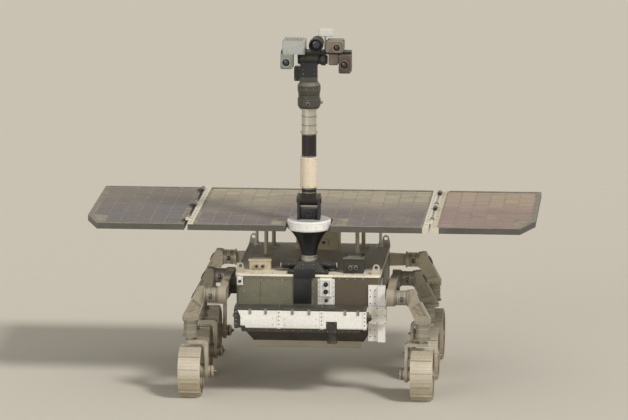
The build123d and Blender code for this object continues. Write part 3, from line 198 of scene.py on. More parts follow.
# Finish with patchy colour, worn edges (colour, share), dust lying on top and low down (shares)
# and a fine bump; above a height it can have a second colour
def finish(name, code, rough, metal=0.0, dust=(0.35, 0.25), vary=0.14, grain=0.25, worn=None,
           coat=0.0, stretch=None, upper=None, pattern=None):
    material, tree = blank_material(name)
    coords = object_coords(tree)
    parts = split(coords)
    normal = add(tree, "ShaderNodeNewGeometry").outputs["Normal"]
    patches = noise(coords, 6.0, 6.0, 0.6)
    speck = noise(coords, 140.0, 3.0, 0.6, stretch)
    plain = tone(code)
    colour = blend(spread(patches, 0.3, 0.7), shade(plain, 1 - vary), shade(plain, 1 + vary))
    if upper:
        height, upper_code = upper
        over = spread(parts["Z"], height - 0.0005, height + 0.0005)
        upper_colour = blend(patches, shade(tone(upper_code), 1 - vary), upper_code)
        colour = blend(over, colour, upper_colour)
    if pattern:
        colour = pattern(parts, colour)
    colour = dim(colour, spread(speck, 0.3, 0.7, 0.86, 1.08))
    rough_out = spread(patches, 0.25, 0.75, rough - 0.07, rough + 0.1)
    if worn:
        worn_code, share = worn
        rounded = add(tree, "ShaderNodeBevel", {"Radius": 0.004}, samples=4).outputs[0]
        facing = add(tree, "ShaderNodeVectorMath", {0: rounded, 1: normal},
                     operation="DOT_PRODUCT").outputs["Value"]
        edge = spread(facing, 0.985, 0.86)
        chips = spread(noise(coords, 38.0, 6.0, 0.7), 0.62 - share * 0.3, 0.68)
        scratches = spread(noise(coords, 9.0, 8.0, 0.75), 0.66, 0.72, 0.0, 0.5)
        bare = maths("MAXIMUM", times(edge, chips), scratches)
        colour = blend(bare, colour, worn_code)
        metal = spread(bare, 0.0, 1.0, metal, max(metal, 0.6))
    settled = noise(coords, 14.0, 8.0, 0.65)
    lying = spread(split(normal)["Z"], 0.1, 0.95, 0.0, dust[0])
    low = spread(parts["Z"], 0.5, 0.05, 0.0, dust[1])
    flecks = spread(settled, 0.32, 0.66, 0.35, 1.5)
    amount = maths("MULTIPLY", maths("ADD", lying, low), flecks, True)
    bump = add(tree, "ShaderNodeBump", {"Strength": grain, "Distance": 0.0006, "Height": speck})
    surface(tree, {
        "Base Color": blend(amount, colour, DUST), "Metallic": metal,
        "Roughness": maths("ADD", rough_out, times(amount, 0.35), True),
        "Normal": bump.outputs[0], "Coat Weight": coat, "Coat Roughness": 0.2})
    return material


# Solar cells: tint by cell, thin bus bars, a painted reflection of sand towards the rear, patches, dust
def cell_finish(name, near, far, dust_share, bronze):
    material, tree = blank_material(name)
    coords = object_coords(tree)
    parts = split(coords)
    cell = add(tree, "ShaderNodeAttribute", attribute_name="cell_tint").outputs["Fac"]
    drift = spread(noise(coords, 1.6, 3.0), 0.3, 0.7, -0.12, 0.12)
    # Painted reflection: towards the rear the cells blend into the far tone, a reflected sand colour
    rear_reflection_share = spread(maths("ADD", parts["Y"], drift), -0.05, 0.35)
    colour = blend(rear_reflection_share, tone(near), far)
    patch = spread(noise(coords, 4.5, 2.0), 0.52, 0.6, 0.0, 0.45)
    colour = dim(blend(patch, colour, bronze), spread(cell, 0.0, 1.0, 0.87, 1.13))
    steps = maths("DIVIDE", maths("ADD", parts["X"], 10.0), 0.0135)
    bar = below(maths("FRACT", steps), 0.06)
    colour = blend(times(bar, 0.5), colour, "c9c5bd")
    grit = noise(coords, 18.0, 9.0, 0.7)
    dust = spread(grit, 0.35, 0.75, dust_share * 0.25, dust_share)
    bump = add(tree, "ShaderNodeBump", {"Strength": 0.1, "Distance": 0.0004, "Height": grit})
    surface(tree, {
        "Base Color": blend(dust, colour, DUST),
        "Roughness": spread(dust, 0.0, 1.0, 0.3, 0.9), "Normal": bump.outputs[0],
        "Specular IOR Level": 0.1, "Coat Weight": 0.0, "Coat Roughness": 0.15})
    return material


# Coated lens glass: dark, with a painted tinted sheen from a soft noise
def glass_finish(name, code, sheen):
    material, tree = blank_material(name)
    coords = object_coords(tree)
    painted_sheen_share = spread(noise(coords, 45.0, 2.0), 0.35, 0.65)
    smear = spread(noise(coords, 120.0, 4.0), 0.4, 0.7, 0.04, 0.16)
    surface(tree, {
        "Base Color": blend(painted_sheen_share, tone(code), sheen), "Roughness": smear,
        "Coat Weight": 1.0, "Coat Roughness": 0.03, "IOR": 1.6})
    return material


# Patterns of finishes measure in metres. Twill weave of bare carbon laminate
def weave(parts, colour):
    slant = maths("ADD", parts["X"], parts["Y"])
    band_share = maths("SINE", times(slant, 900.0))
    return blend(spread(band_share, -0.4, 0.4), colour, "46413f")


# Body panels: thin dark seams across and along, browner front left, and painted shade below z 0.4 on the front
# face and the lower slope
def body_seams(parts, colour):
    for axis, pitch, offset in (("Y", 0.29, 0.08), ("X", 0.26, 0.0)):
        along = maths("ADD", parts[axis], offset + 100 * pitch)
        share = maths("FRACT", maths("DIVIDE", along, pitch))
        colour = blend(below(share, 0.002 / pitch), colour, "20221f")
    front = below(parts["Y"], -0.4265)
    beside_cameras = times(front, above(parts["X"], 0.135))
    colour = blend(beside_cameras, colour, "5e5343")
    # Painted shade: near black on the front face and the lower slope below z 0.4, standing in for the shade under
    # the drill box and the body
    slope = below(maths("ADD", parts["Y"], parts["Z"]), -0.0885)
    painted_shade_skirt = times(maths("MAXIMUM", front, slope), below(parts["Z"], 0.4))
    return blend(painted_shade_skirt, colour, "1c1b19")


# Legs and their drives turn a light sand tone towards the rear, painted light that offsets the array's shade there
def painted_light_rear(parts, colour):
    return blend(spread(parts["Y"], 0.25, 0.35), colour, "ddd2ba")


# Drill box: dark above the lid seam, and a dark slanted strip at its right end, widest at the bottom
def dark_edges(parts, colour):
    lid = above(parts["Z"], 0.4965)
    slant = times(maths("SUBTRACT", 0.5125, parts["Z"]), 0.45)
    end = below(parts["X"], maths("ADD", slant, -0.375))
    return blend(maths("MAXIMUM", lid, end), colour, "2e2e2b")


# The right hand wide camera is light, the left one dark
def right_hand_light(parts, colour):
    return blend(below(parts["X"], 0.0), colour, "92978a")


# The left deck unit is dark, the others get a light sand tone, painted light that offsets the array's shade
def painted_light_units(parts, colour):
    return blend(above(parts["X"], 0.15), tone("c8ba9b"), colour)


# Cream strips on both sides of the left wing's hinge line, a painted highlight of the sun's glint there
def painted_glint_rails(parts, colour):
    hinge_x = joint_place["wing_left_fold"].x * MM
    inner = above(parts["X"], hinge_x - 0.045)
    outer = below(parts["X"], hinge_x + 0.045)
    return blend(times(inner, outer), colour, "d8cfba")


DUST = tone("bfb094")
BARE = "b9b4a9"
BLACK_WORN = "6f6d69"
WHITE_WORN = "8f8b82"
OLIVE_WORN = "8c887c"
skins = {
    "body_grey": finish(
        "body paint, green grey", "77735f", 0.5, dust=(0.5, 0.12), worn=("9a958a", 0.3),
        pattern=body_seams),
    # Deck: a sand coloured coat, made lighter still as painted light that offsets the array's shade
    "deck_tan": finish("deck, sand coloured coat under dust", "efe4cc", 0.6, dust=(0.1, 0.25)),
    "bare_aluminium": finish(
        "machined aluminium", "c6c0b3", 0.38, 0.75, (0.3, 0.25), 0.08, stretch=(1, 1, 14)),
    "array_frame": finish(
        "array frame, grey anodised", "5f5b55", 0.45, 0.35, (0.3, 0.25), worn=(BARE, 0.35),
        pattern=painted_glint_rails),
    "cell_board": finish(
        "carbon board under the cells", "2a2629", 0.42, dust=(0.5, 0.0), pattern=weave),
    "black": finish(
        "black anodised mast parts", "131415", 0.45, dust=(0.14, 0.25), worn=(BLACK_WORN, 0.2)),
    "white": finish(
        "white paint", "eeebe4", 0.42, 0.0, (0.15, 0.15), 0.04, worn=(WHITE_WORN, 0.22)),
    "leg_grey": finish(
        "leg paint, warm grey", "9c9380", 0.5, dust=(0.5, 0.35), worn=(BARE, 0.45),
        pattern=painted_light_rear),
    "actuator_black": finish(
        "actuator black", "2b2b2a", 0.45, dust=(0.35, 0.2), worn=("807c75", 0.35)),
    "knuckle_grey": finish(
        "knuckle, clear anodised", "aaa497", 0.42, 0.55, (0.5, 0.45), worn=("d3cfc5", 0.5)),
    "wheel_metal": finish(
        "dusty wheel metal", "cbc5b8", 0.42, 0.5, (0.3, 0.55), 0.1, 0.4, worn=("e0dcd2", 0.5)),
    "olive_dark": finish("pan drive, dark olive", "45443a", 0.45, worn=(OLIVE_WORN, 0.3)),
    "camera_light": finish("camera electronics, light grey", "aeb0aa", 0.5, worn=("d0cec8", 0.2)),
    "camera_black": finish("camera black", "0e0e0e", 0.5, dust=(0.08, 0.25)),
    "camera_brown": finish("spectrometer, grey brown", "807467", 0.55, dust=(0.3, 0.25)),
    "antenna_white": finish("antenna white", "dedbd2", 0.55, 0.0, (0.25, 0.25), 0.05),
    "unit_dark": finish("deck unit, dark plastic", "33332f", 0.55, dust=(0.5, 0.25)),
    "stop_red": finish("stop button red", "b3201b", 0.3, 0.0, (0.1, 0.25), 0.06, coat=0.5),
}
# Pieces whose own finish differs from that of their slot
own_skins = {
    "mast_collar": finish(
        "mast disc white, black fork above", "f5f2ec", 0.42, 0.0, (0.12, 0.0), 0.04,
        upper=(FORK_BASE * MM, "17181a")),
    "pan_fork": finish(
        "pan fork, olive drum and black neck", "45443a", 0.45, worn=(OLIVE_WORN, 0.3),
        upper=((joint_place["mast_pan"].z + 95) * MM, "151515")),
    "camera_wide_pair": finish(
        "wide cameras, green grey and brown", "5b4d43", 0.5, dust=(0.25, 0.25),
        pattern=right_hand_light),
    # Hinge bars: cream, brightened as a painted highlight of the sun's glint
    "array_hinge_bars": finish(
        "hinge bars, cream anodised, brightened as a painted glint", "ddd6c4", 0.42, 0.2, (0.15, 0.25), 0.06, worn=(BARE, 0.3)),
    "deck_units": finish(
        "deck units, dark plastic and a sand tone as painted light", "33332f", 0.55, dust=(0.4, 0.25),
        pattern=painted_light_units),
    "array_posts": finish("array posts, sand coloured coat", "b0a48c", 0.5, 0.2, (0.3, 0.25)),
    "drill_box": finish(
        "drill box white, dark above the lid seam and at one end", "f0ede5", 0.42, 0.0, (0.08, 0.1), 0.03,
        worn=(WHITE_WORN, 0.15), pattern=dark_edges),
    "drill_carriage": finish(
        "drill carriage, white paint", "e6e1d6", 0.42, 0.0, (0.15, 0.1), 0.05,
        worn=(WHITE_WORN, 0.25)),
    "mast_sleeve": finish(
        "mast sleeve, cream paint", "e4d6bd", 0.42, 0.0, (0.15, 0.0), 0.04, worn=(WHITE_WORN, 0.2)),
    "steering_actuators": finish(
        "steering drives, grey anodised", "8f897c", 0.42, 0.4, (0.4, 0.3), worn=(BARE, 0.35)),
    "deployment_actuators": finish(
        "deployment drives, grey anodised", "857f72", 0.42, 0.2, (0.35, 0.2), worn=(BARE, 0.35),
        pattern=painted_light_rear),
    "mast_tube": finish(
        "mast tube, black with a red cast", "1f1716", 0.4, dust=(0.2, 0.25),
        worn=(BLACK_WORN, 0.2)),
}
slot_of = {part["node"]: part["material_slot"] for part in frame["record"]["subparts"]}
for node_name, piece in nodes.items():
    skin = own_skins.get(node_name, skins[slot_of[node_name]])
    for slot in piece.material_slots:
        slot.material = skin

# Finishes of small parts, and for each the slot of a like one
skins.update({
    "screw_steel": finish("screw steel", "9a968d", 0.32, 0.85, (0.15, 0.1), grain=0.1),
    "black_screw": finish("blackened screw", "2b2b2b", 0.4, 0.6, (0.2, 0.1), grain=0.1),
    "lens_glass": glass_finish("lens glass, blue coated", "0b0e14", "27304a"),
    "lens_glass_red": glass_finish("lens glass, brown coated", "150b08", "4d241b"),
    "lamp_green": glass_finish("green lamp glass", "1c3a22", "2f6a3a"),
    "warning_yellow": finish("yellow collar", "d9a91c", 0.4, 0.0, (0.2, 0.25), 0.06),
    "rubber": finish("black rubber", "1c1c1c", 0.75, 0.0, (0.3, 0.25), 0.1),
})
SLOT_BEHIND = {
    "screw_steel": "bare_aluminium", "black_screw": "actuator_black", "lens_glass": "camera_black",
    "lens_glass_red": "camera_black", "lamp_green": "unit_dark", "warning_yellow": "stop_red",
    "rubber": "unit_dark",
}


def as_object(name, bm):
    mesh = bpy.data.meshes.new(name)
    bmesh.ops.scale(bm, vec=(MM, MM, MM), verts=bm.verts)
    bm.to_mesh(mesh)
    bm.free()
    made = bpy.data.objects.new(name, mesh)
    scene.collection.objects.link(made)
    return made


def place_on(piece, material, body):
    piece.data.materials.clear()
    piece.data.materials.append(material)
    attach(piece, body)


# Ways straight out from an axis, evenly spaced round it
def ways_round(axis, count, shift=0.0):
    along = Vector(axis).normalized()
    across = along.orthogonal().normalized()
    other = along.cross(across)
    angles = [2 * pi * (number + shift) / count for number in range(count)]
    return [across * cos(angle) + other * sin(angle) for angle in angles]


# Turned shape added to a mesh: steps of (way along the axis, radius) from a centre
def turn(bm, centre, axis, steps, sides=24):
    along = Vector(axis).normalized()
    ways = ways_round(axis, sides)
    rings = []
    for height, radius in steps:
        spot = Vector(centre) + along * height
        outs = [way * radius for way in ways] if radius >= POINT_RADIUS else [Vector()]
        rings.append([bm.verts.new(spot + out) for out in outs])
    for first, second in zip(rings, rings[1:]):
        for number in range(sides):
            after = (number + 1) % sides
            corners = [first[number % len(first)], first[after % len(first)],
                       second[after % len(second)], second[number % len(second)]]
            unique = list(dict.fromkeys(corners))
            if len(unique) > 2:
                bm.faces.new(unique)
    for ring in (rings[0], rings[-1]):
        if len(ring) > 2:
            bm.faces.new(ring)


# Steps of a flat band, a rounded bead and a collar round a pin
def band(inner, outer, width):
    return [(0, inner), (0, outer), (width, outer), (width, inner)]


def bead(inner, outer):
    return [(0, inner), (1, outer), (3, outer), (4, inner)]


def collar(inner, outer, wall, top, top_radius):
    return [(0, outer), (wall, outer), (top, top_radius), (top, inner), (0, inner)]


# Steps of a cap with a bevelled rim; its middle can dip or rise from a radius to a height
def cap(radius, wall, top, top_radius, middle=None):
    steps = [(0, radius), (wall, radius), (top, top_radius)]
    if middle:
        edge, height, inner = middle
        return steps + [(top, edge), (height, inner), (height, 0)]
    return steps + [(top, 0)]


# Plate with softened edges standing on a surface: middle of its back, way out, way up, sizes
def tile(bm, centre, facing, up, width, height, thick, edge=0.8):
    out = Vector(facing).normalized()
    across = Vector(up).cross(out).normalized()
    rise = out.cross(across)
    made = bmesh.ops.create_cube(bm, size=1.0)["verts"]
    for vert in made:
        x, y, z = vert.co
        vert.co = Vector(centre) + across * x * width + rise * y * height + out * (z + 0.5) * thick
    if edge:
        edges = list({e for v in made for e in v.link_edges})
        bmesh.ops.bevel(bm, geom=edges, offset=edge, segments=2, affect="EDGES", profile=0.6)


# Block with softened edges between two corners
def slab(bm, low, high, edge=1.0):
    low, high = Vector(low), Vector(high)
    span = high - low
    base = ((low.x + high.x) / 2, (low.y + high.y) / 2, low.z)
    tile(bm, base, UP, BACK, span.x, span.y, span.z, edge)


# Screw head with a six-sided socket, pointing up from the origin, 1 in radius
def screw_head():
    bm = bmesh.new()
    steps = [(0.0, 1.0), (0.5, 1.0), (0.68, 0.82), (0.68, 0.5), (0.25, 0.46), (0.25, 0.0)]
    turn(bm, (0, 0, 0), UP, steps, 6)
    bmesh.ops.recalc_face_normals(bm, faces=bm.faces)
    return as_object("screw_head", bm)


# Geometry Nodes tree with named inputs and one result
def open_tree(name, inputs, result):
    tree = bpy.data.node_groups.new(name, "GeometryNodeTree")
    for label, kind in inputs.items():
        tree.interface.new_socket(label, in_out="INPUT", socket_type="NodeSocket" + kind)
    tree.interface.new_socket(result, in_out="OUTPUT", socket_type="NodeSocketGeometry")
    return tree, tree.nodes.new("NodeGroupInput").outputs


# Instances made real, given their material and led to the result
def close_tree(tree, instances, material, result):
    real = add(tree, "GeometryNodeRealizeInstances", {"Geometry": instances.outputs[0]})
    skin = add(tree, "GeometryNodeSetMaterial", {"Geometry": real.outputs[0], "Material": material})
    add(tree, "NodeGroupOutput", {result: skin.outputs[0]})
    return tree


# Tree that sets a head on every point, along the way stored on the point
def fastener_tree():
    tree, given = open_tree("set fasteners", {
        "Points": "Geometry", "Head": "Object", "Seed": "Int", "Metal": "Material"}, "Fasteners")
    facing, size = [
        add(tree, "GeometryNodeInputNamedAttribute", {"Name": name},
            data_type="FLOAT_VECTOR").outputs["Attribute"] for name in ("facing", "head_size")]
    aligned = add(tree, "FunctionNodeAlignRotationToVector", {"Vector": facing}, axis="Z")
    spin = add(tree, "FunctionNodeRandomValue", {"Seed": given["Seed"], 3: 2 * pi},
               data_type="FLOAT")
    twist = add(tree, "FunctionNodeAxisAngleToRotation", {"Angle": spin.outputs[1]})
    turned = add(tree, "FunctionNodeRotateRotation",
                 {"Rotation": aligned.outputs[0], "Rotate By": twist.outputs[0]},
                 rotation_space="LOCAL")
    head = add(tree, "GeometryNodeObjectInfo", {"Object": given["Head"]})
    placed = add(tree, "GeometryNodeInstanceOnPoints", {
        "Points": given["Points"], "Instance": head.outputs["Geometry"],
        "Rotation": turned.outputs[0], "Scale": size})
    return close_tree(tree, placed, given["Metal"], "Fasteners")


# Result of a tree on points made a plain piece, without its modifier
def from_tree(name, points, tree, values, material, body):
    source = bpy.data.objects.new(name + "_start", points)
    scene.collection.objects.link(source)
    modifier = source.modifiers.new("made", "NODES")
    modifier.node_group = tree
    for item in tree.interface.items_tree:
        if item.in_out == "INPUT" and item.name in values:
            modifier[item.identifier] = values[item.name]
    scene.view_layers[0].update()
    seen = source.evaluated_get(bpy.context.evaluated_depsgraph_get())
    mesh = bpy.data.meshes.new_from_object(seen)
    bpy.data.objects.remove(source)
    mesh.name = name
    piece = bpy.data.objects.new(name, mesh)
    scene.collection.objects.link(piece)
    place_on(piece, material, body)


# Small parts collected as one mesh for each name, body and finish
small_parts = {}


def small(name, body, skin):
    key = (name, body, skin)
    if key not in small_parts:
        small_parts[key] = bmesh.new()
    return small_parts[key]


# Small parts made pieces: normals outwards, edges sharp past an angle
def settle_small_parts():
    for (name, body, skin), bm in small_parts.items():
        bmesh.ops.remove_doubles(bm, verts=bm.verts, dist=WELD)
        bmesh.ops.recalc_face_normals(bm, faces=bm.faces)
        piece = as_object(f"{name}_{body}", bm)
        for face in piece.data.polygons:
            face.use_smooth = True
        piece.data.set_sharp_from_angle(angle=radians(SHARP_ANGLE))
        place_on(piece, skins[skin], body)


fasteners = {}


# Fastener noted for a body: place, way it faces, head size
def fasten(body, place, facing, head=SMALL, metal="steel"):
    fasteners.setdefault((body, metal), []).append((Vector(place), Vector(facing), head))


def listed(value):
    return value if isinstance(value, (tuple, list)) else (value,)


# Fasteners at every mix of the given x, y and z
def fasten_grid(body, x, y, z, facing, head=SMALL, metal="steel"):
    for place in product(listed(x), listed(y), listed(z)):
        fasten(body, place, facing, head, metal)


# Row of fasteners along each coordinate that is given as a pair
def fasten_row(body, x, y, z, count, facing, head=MIDDLE, metal="steel"):
    start, end = [Vector([listed(value)[place] for value in (x, y, z)]) for place in (0, -1)]
    for number in range(count):
        fasten(body, start.lerp(end, (number + 0.5) / count), facing, head, metal)


def fasten_rows(body, *rows):
    for row in rows:
        fasten_row(body, *row)


def fasten_ring(body, centre, axis, radius, count, head=SMALL, metal="steel", shift=0.0):
    for way in ways_round(axis, count, shift):
        fasten(body, Vector(centre) + way * radius, Vector(axis).normalized(), head, metal)


# Radial fasteners on a round wall
def fasten_round(body, centre, axis, radius, count, head=SMALL):
    for way in ways_round(axis, count):
        fasten(body, Vector(centre) + way * radius, way, head)


# Steps whose radii are given as shares of one radius
def shares(radius, *steps):
    return [(height, radius * share) for height, share in steps]


# Lens with its bezel ring and a domed glass, seated on a face and looking along an axis
def lens(centre, axis, radius, body, glass="lens_glass"):
    rim = shares(radius, (0, 1), (3, 1), (3.8, 0.94), (3.4, 0.84), (0.8, 0.8), (0.6, 0))
    turn(small("lens_bezels", body, "camera_black"), centre, axis, rim, 32)
    dome = shares(radius, (0.6, 0.79), (1.8, 0.72), (2.8, 0.5), (3.4, 0.25), (3.6, 0))
    turn(small("lens_glasses", body, glass), centre, axis, dome, 32)


# Round connector: flange, knurled nut and open shell, with its insert and pins
def connector(body, centre, axis, radius, length=12):
    low, high = length * 0.5, length * 0.8
    shell = shares(radius, (0, 1.3), (2, 1.3), (2.4, 1), (low, 1), (low, 1.12), (high, 1.12),
                   (high, 1), (length, 1), (length, 0.86), (5, 0.84), (5, 0))
    turn(small("connector_shells", body, "screw_steel"), centre, axis, shell, 20)
    insert = shares(radius, (5, 0.8), (7.5, 0.8), (8, 0.72), (8, 0))
    turn(small("connector_inserts", body, "rubber"), centre, axis, insert, 16)
    pins = small("connector_pins", body, "screw_steel")
    for way in ways_round(axis, 6):
        turn(pins, Vector(centre) + way * radius * 0.45, axis, [(7, 0.6), (10.5, 0.6), (11, 0)], 6)


# Array frames: screws along every rail, wings' cut corners and hinge lines
def array_details():
    low, high = [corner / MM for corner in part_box("array_frame")]
    front, rear, top = low.y + RAIL_HALF, high.y - RAIL_HALF, high.z
    notch = NOTCH_HALF + RAIL_HALF
    panel_front = MAST_Y + NOTCH_HALF
    for side in (-1, 1):
        inner, outer = side * notch, side * (high.x - RAIL_HALF)
        fasten_rows(BASE, ((inner, outer - side * 20), front, top, 6, UP),
                    (inner, (front, panel_front), top, 3, UP),
                    (outer - side * 3, (low.y, high.y), top + 8, 14, UP))
    fasten_rows(BASE, ((-notch, notch), panel_front + RAIL_HALF, top, 3, UP),
                ((low.x + 40, high.x - 40), rear, top, 13, UP))
    for side, body, node in ((1, "wing_left", "wing_frame_left"),
                             (-1, "wing_right", "wing_frame_right")):
        near, far = side * (675 + RAIL_HALF), side * (1225 - RAIL_HALF)
        fasten_rows(body, ((near, far), rear, top, 6, UP),
                    (far, (-205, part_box(node)[1].y / MM), top, 9, UP),
                    ((near + side * 20, side * 1140), front, top, 5, UP),
                    ((side * 1145, far), (front + 10, -210), top, 3, UP))
        for start, end in ((-420, -350), (-310, 90), (130, 530), (570, 640)):
            fasten_row(body, near, (start, end), top, max(1, round((end - start) / 80)), UP)


# Solar cell with two cropped corners on a flat base
def cell_shape():
    bm = bmesh.new()
    x, y, crop = CELL_LONG / 2, CELL_WIDE / 2, CELL_CROP
    outline = [(-x, -y), (x, -y), (x, y - crop), (x - crop, y), (crop - x, y), (-x, y - crop)]
    bottom, top = [[bm.verts.new((*spot, z)) for spot in outline] for z in (0, CELL_THICK)]
    bm.faces.new(top)
    bm.faces.new(bottom[::-1])
    for number in range(len(outline)):
        after = (number + 1) % len(outline)
        bm.faces.new([bottom[number], bottom[after], top[after], top[number]])
    return as_object("cell_shape", bm)


# Tree that sets a cell on each point and stores its random tint
def cell_tree():
    tree, given = open_tree("lay cells", {
        "Fields": "Geometry", "Cell": "Object", "Seed": "Int", "Skin": "Material"}, "Cells")
    shape = add(tree, "GeometryNodeObjectInfo", {"Object": given["Cell"]})
    placed = add(tree, "GeometryNodeInstanceOnPoints", {
        "Points": given["Fields"], "Instance": shape.outputs["Geometry"]})
    chance = add(tree, "FunctionNodeRandomValue", {"Seed": given["Seed"]}, data_type="FLOAT")
    tinted = add(tree, "GeometryNodeStoreNamedAttribute", {
        "Geometry": placed.outputs[0], "Name": "cell_tint"}, data_type="FLOAT", domain="INSTANCE")
    tree.links.new(chance.outputs[1], tinted.inputs["Value"])
    return close_tree(tree, tinted, given["Skin"], "Cells")


# Middles of the cells that fit a board between its edges, kept by a test
def cell_places(low, high, keep):
    pitch_x, pitch_y = CELL_LONG + CELL_GAP, CELL_WIDE + CELL_GAP
    columns = int((high.x - low.x - 12) / pitch_x)
    rows = int((high.y - low.y - 12) / pitch_y)
    start_x = (low.x + high.x - (columns - 1) * pitch_x) / 2
    start_y = (low.y + high.y - (rows - 1) * pitch_y) / 2
    spots = [(start_x + column * pitch_x, start_y + row * pitch_y, high.z)
             for column in range(columns) for row in range(rows)]
    mesh = bpy.data.meshes.new("cell_places")
    mesh.from_pydata([Vector(spot) * MM for spot in spots if keep(*spot[:2])], [], [])
    return mesh


def solar_cells():
    shape = cell_shape()
    tree = cell_tree()
    notch_x = NOTCH_HALF + BOARD_EDGE + CELL_LONG / 2 + 6
    notch_y = MAST_Y + NOTCH_HALF + BOARD_EDGE + CELL_WIDE / 2 + 4

    def clear_of_notch(x, y):
        return abs(x) > notch_x or y > notch_y

    def clear_of_cut(x, y):
        edge = 1132 + (y - CELL_WIDE / 2 + 406) * (75 / 225)
        return abs(x) + CELL_LONG / 2 + 4 < edge or y > -180

    for name, node, body, keep, seed, look in (
            ("cells_centre", "array_panel_centre", BASE, clear_of_notch, 3,
             ("cells of the centre panel", "554b51", "a1967c", 0.3, "786a5e")),
            ("cells_wing_left", "wing_panel_left", "wing_left", clear_of_cut, 5,
             ("cells of the left wing", "866966", "a08a72", 0.4, "a08781")),
            ("cells_wing_right", "wing_panel_right", "wing_right", clear_of_cut, 8,
             ("cells of the right wing", "504b53", "62574b", 0.22, "5a4f45"))):
        low, high = [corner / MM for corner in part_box(node)]
        material = cell_finish(*look)
        from_tree(name, cell_places(low, high, keep), tree,
                  {"Cell": shape, "Seed": seed, "Skin": material}, material, body)
    bpy.data.objects.remove(shape)


# Way out from a wheel's axle at an angle, and the way round the wheel there
def spoke_ways(angle):
    radial = BACK * sin(angle) - UP * cos(angle)
    return radial, radial.cross(LEFT)


# Wheel: rim rivets, hub bolts, spoke clamps, low ridges and the lugs' riveted feet
def wheel_details(body, centre, side):
    out = LEFT * side
    for along, facing, *ring in (
            (60, 1, 129.5, 24), (-60, -1, 129.5, 24), (50, 1, 44, 8, MIDDLE), (56, 1, 21.5, 6),
            (-30, -1, 41.9, 8)):
        fasten_ring(body, centre + out * along, out * facing, *ring)
    turn(small("hub_caps", body, "knuckle_grey"), centre + out * 56, out,
         cap(16, 4, 5.5, 14.5, (6, 3, 5.5)), 28)
    clamps = small("spoke_clamps", body, "wheel_metal")
    for number in range(8):
        radial, tangent = spoke_ways(pi * number / 4)
        rim_spot, hub_spot = centre + radial * 131.6, centre + radial * 45.9
        tile(clamps, rim_spot, -radial, LEFT, 24, 62, 3.2)
        tile(clamps, hub_spot, radial, LEFT, 18, 60, 3.2)
        for across in (-22, 22):
            for spot, facing, shift in ((rim_spot, -radial, 7), (rim_spot, -radial, -7),
                                        (hub_spot, radial, 5)):
                fasten(body, spot + facing * 3.2 + LEFT * across + tangent * shift, facing)
    tread = small("tread_ridges", body, "wheel_metal")
    for number in range(12):
        for shift in (-7.5, 0.0, 7.5):
            radial, tangent = spoke_ways(radians(30 * number + shift))
            tile(tread, centre + radial * 134.4, radial, LEFT, 2.2, 112, 1.6, 0)
        radial, tangent = spoke_ways(radians(30 * number + 15))
        tile(tread, centre + radial * 134.3 + tangent * 7, radial, LEFT, 12, 106, 1.4, 0.4)
        for across in (-44, -15, 15, 44):
            fasten(body, centre + radial * 135.7 + LEFT * across + tangent * 8.5, radial,
                   TREAD_RIVET)


# Corner of the chassis: knuckle and drive motor, steering and deployment drives, leg
def corner_details(body, steer, spin, side):
    out = LEFT * side
    inner = spin - out * 95
    tail = inner - out * 30
    fasten_ring(body, inner, -out, 38.5, 8, MIDDLE, shift=0.5)
    fasten_ring(body, tail, -out, 17.5, 6)
    turn(small("motor_tail_covers", body, "actuator_black"), tail, -out, cap(13.5, 3, 4, 12.5))
    connector(body, inner - out * 34, -out, 6.2, 10)
    turn(small("motor_bands", body, "actuator_black"), inner - out * 12, -out,
         band(30.3, 31.6, 6), 32)
    plate_top = steer.z - 16.3
    for y in (-24, 24):
        fasten_grid(body, [steer.x + side * x for x in (-80, -55, -34)], steer.y + y,
                    plate_top, UP, MIDDLE)
        for facing in (-1, 1):
            fasten(body, spin + Vector((-side * 87 + facing * 8 * side, y, 140)),
                   out * facing, MIDDLE)
    fasten_ring(body, (steer.x, steer.y, plate_top), UP, 27, 8)

    low, high = steer.z - 0.3, steer.z + 94.7
    fasten_ring(BASE, (steer.x, steer.y, low + 8), UP, 41, 12)
    fasten_ring(BASE, (steer.x, steer.y, high - 8), DOWN, 41, 12, shift=0.5)
    ribs = small("drive_ribs", BASE, "knuckle_grey")
    for height in (22, 30, 62):
        turn(ribs, (steer.x, steer.y, low + height), UP, band(37.9, 39.8, 4), 36)
    box = small("drive_connectors", BASE, "actuator_black")
    tile(box, (steer.x - side * 35, steer.y, low + 47), -out, UP, 26, 22, 14, 2)
    connector(BASE, (steer.x - side * 49, steer.y, low + 47), -out, 7.5, 11)
    for x, facing in ((483.3, 1), (546.7, -1)):
        fasten_ring(BASE, (side * x, steer.y, BEAM_Z), out * facing, 43, 12)
    for x in (496, 504, 530):
        turn(ribs, (side * x, steer.y, BEAM_Z), out, band(39.9, 41.8, 4), 36)
    tile(box, (side * 519, steer.y - 38, BEAM_Z), AHEAD, UP, 16, 26, 12, 2)
    connector(BASE, (side * 519, steer.y - 50, BEAM_Z), AHEAD, 6.2, 10)

    slope = Vector((side * 0.882, 0, 0.471))
    spot = Vector((side * 612.2, steer.y, BEAM_Z))
    turn(small("leg_caps", BASE, "actuator_black"), spot, slope,
         cap(24, 4, 5, 22.8, (8, 7, 7.5)), 32)
    fasten_ring(BASE, spot + slope * 5, slope, 16.8, 6)
    webs = small("leg_ribs", BASE, "leg_grey")
    for facing, way in ((-1, AHEAD), (1, BACK)):
        face_y = steer.y + facing * 28
        fasten_grid(BASE, [side * x for x in (594, 618, 642, 666)], face_y, 434.7, way, MIDDLE)
        for x, z in ((565, 594), (583, 594), (565, 548), (565, 571)):
            fasten(BASE, (side * x, face_y, z), way)
        for x, z in ((601, 508), (613, 484)):
            tile(webs, (side * x, steer.y + facing * 19.5, z), way,
                 Vector((side * 0.5, 0, 0.87)), 40, 4, 6.5)


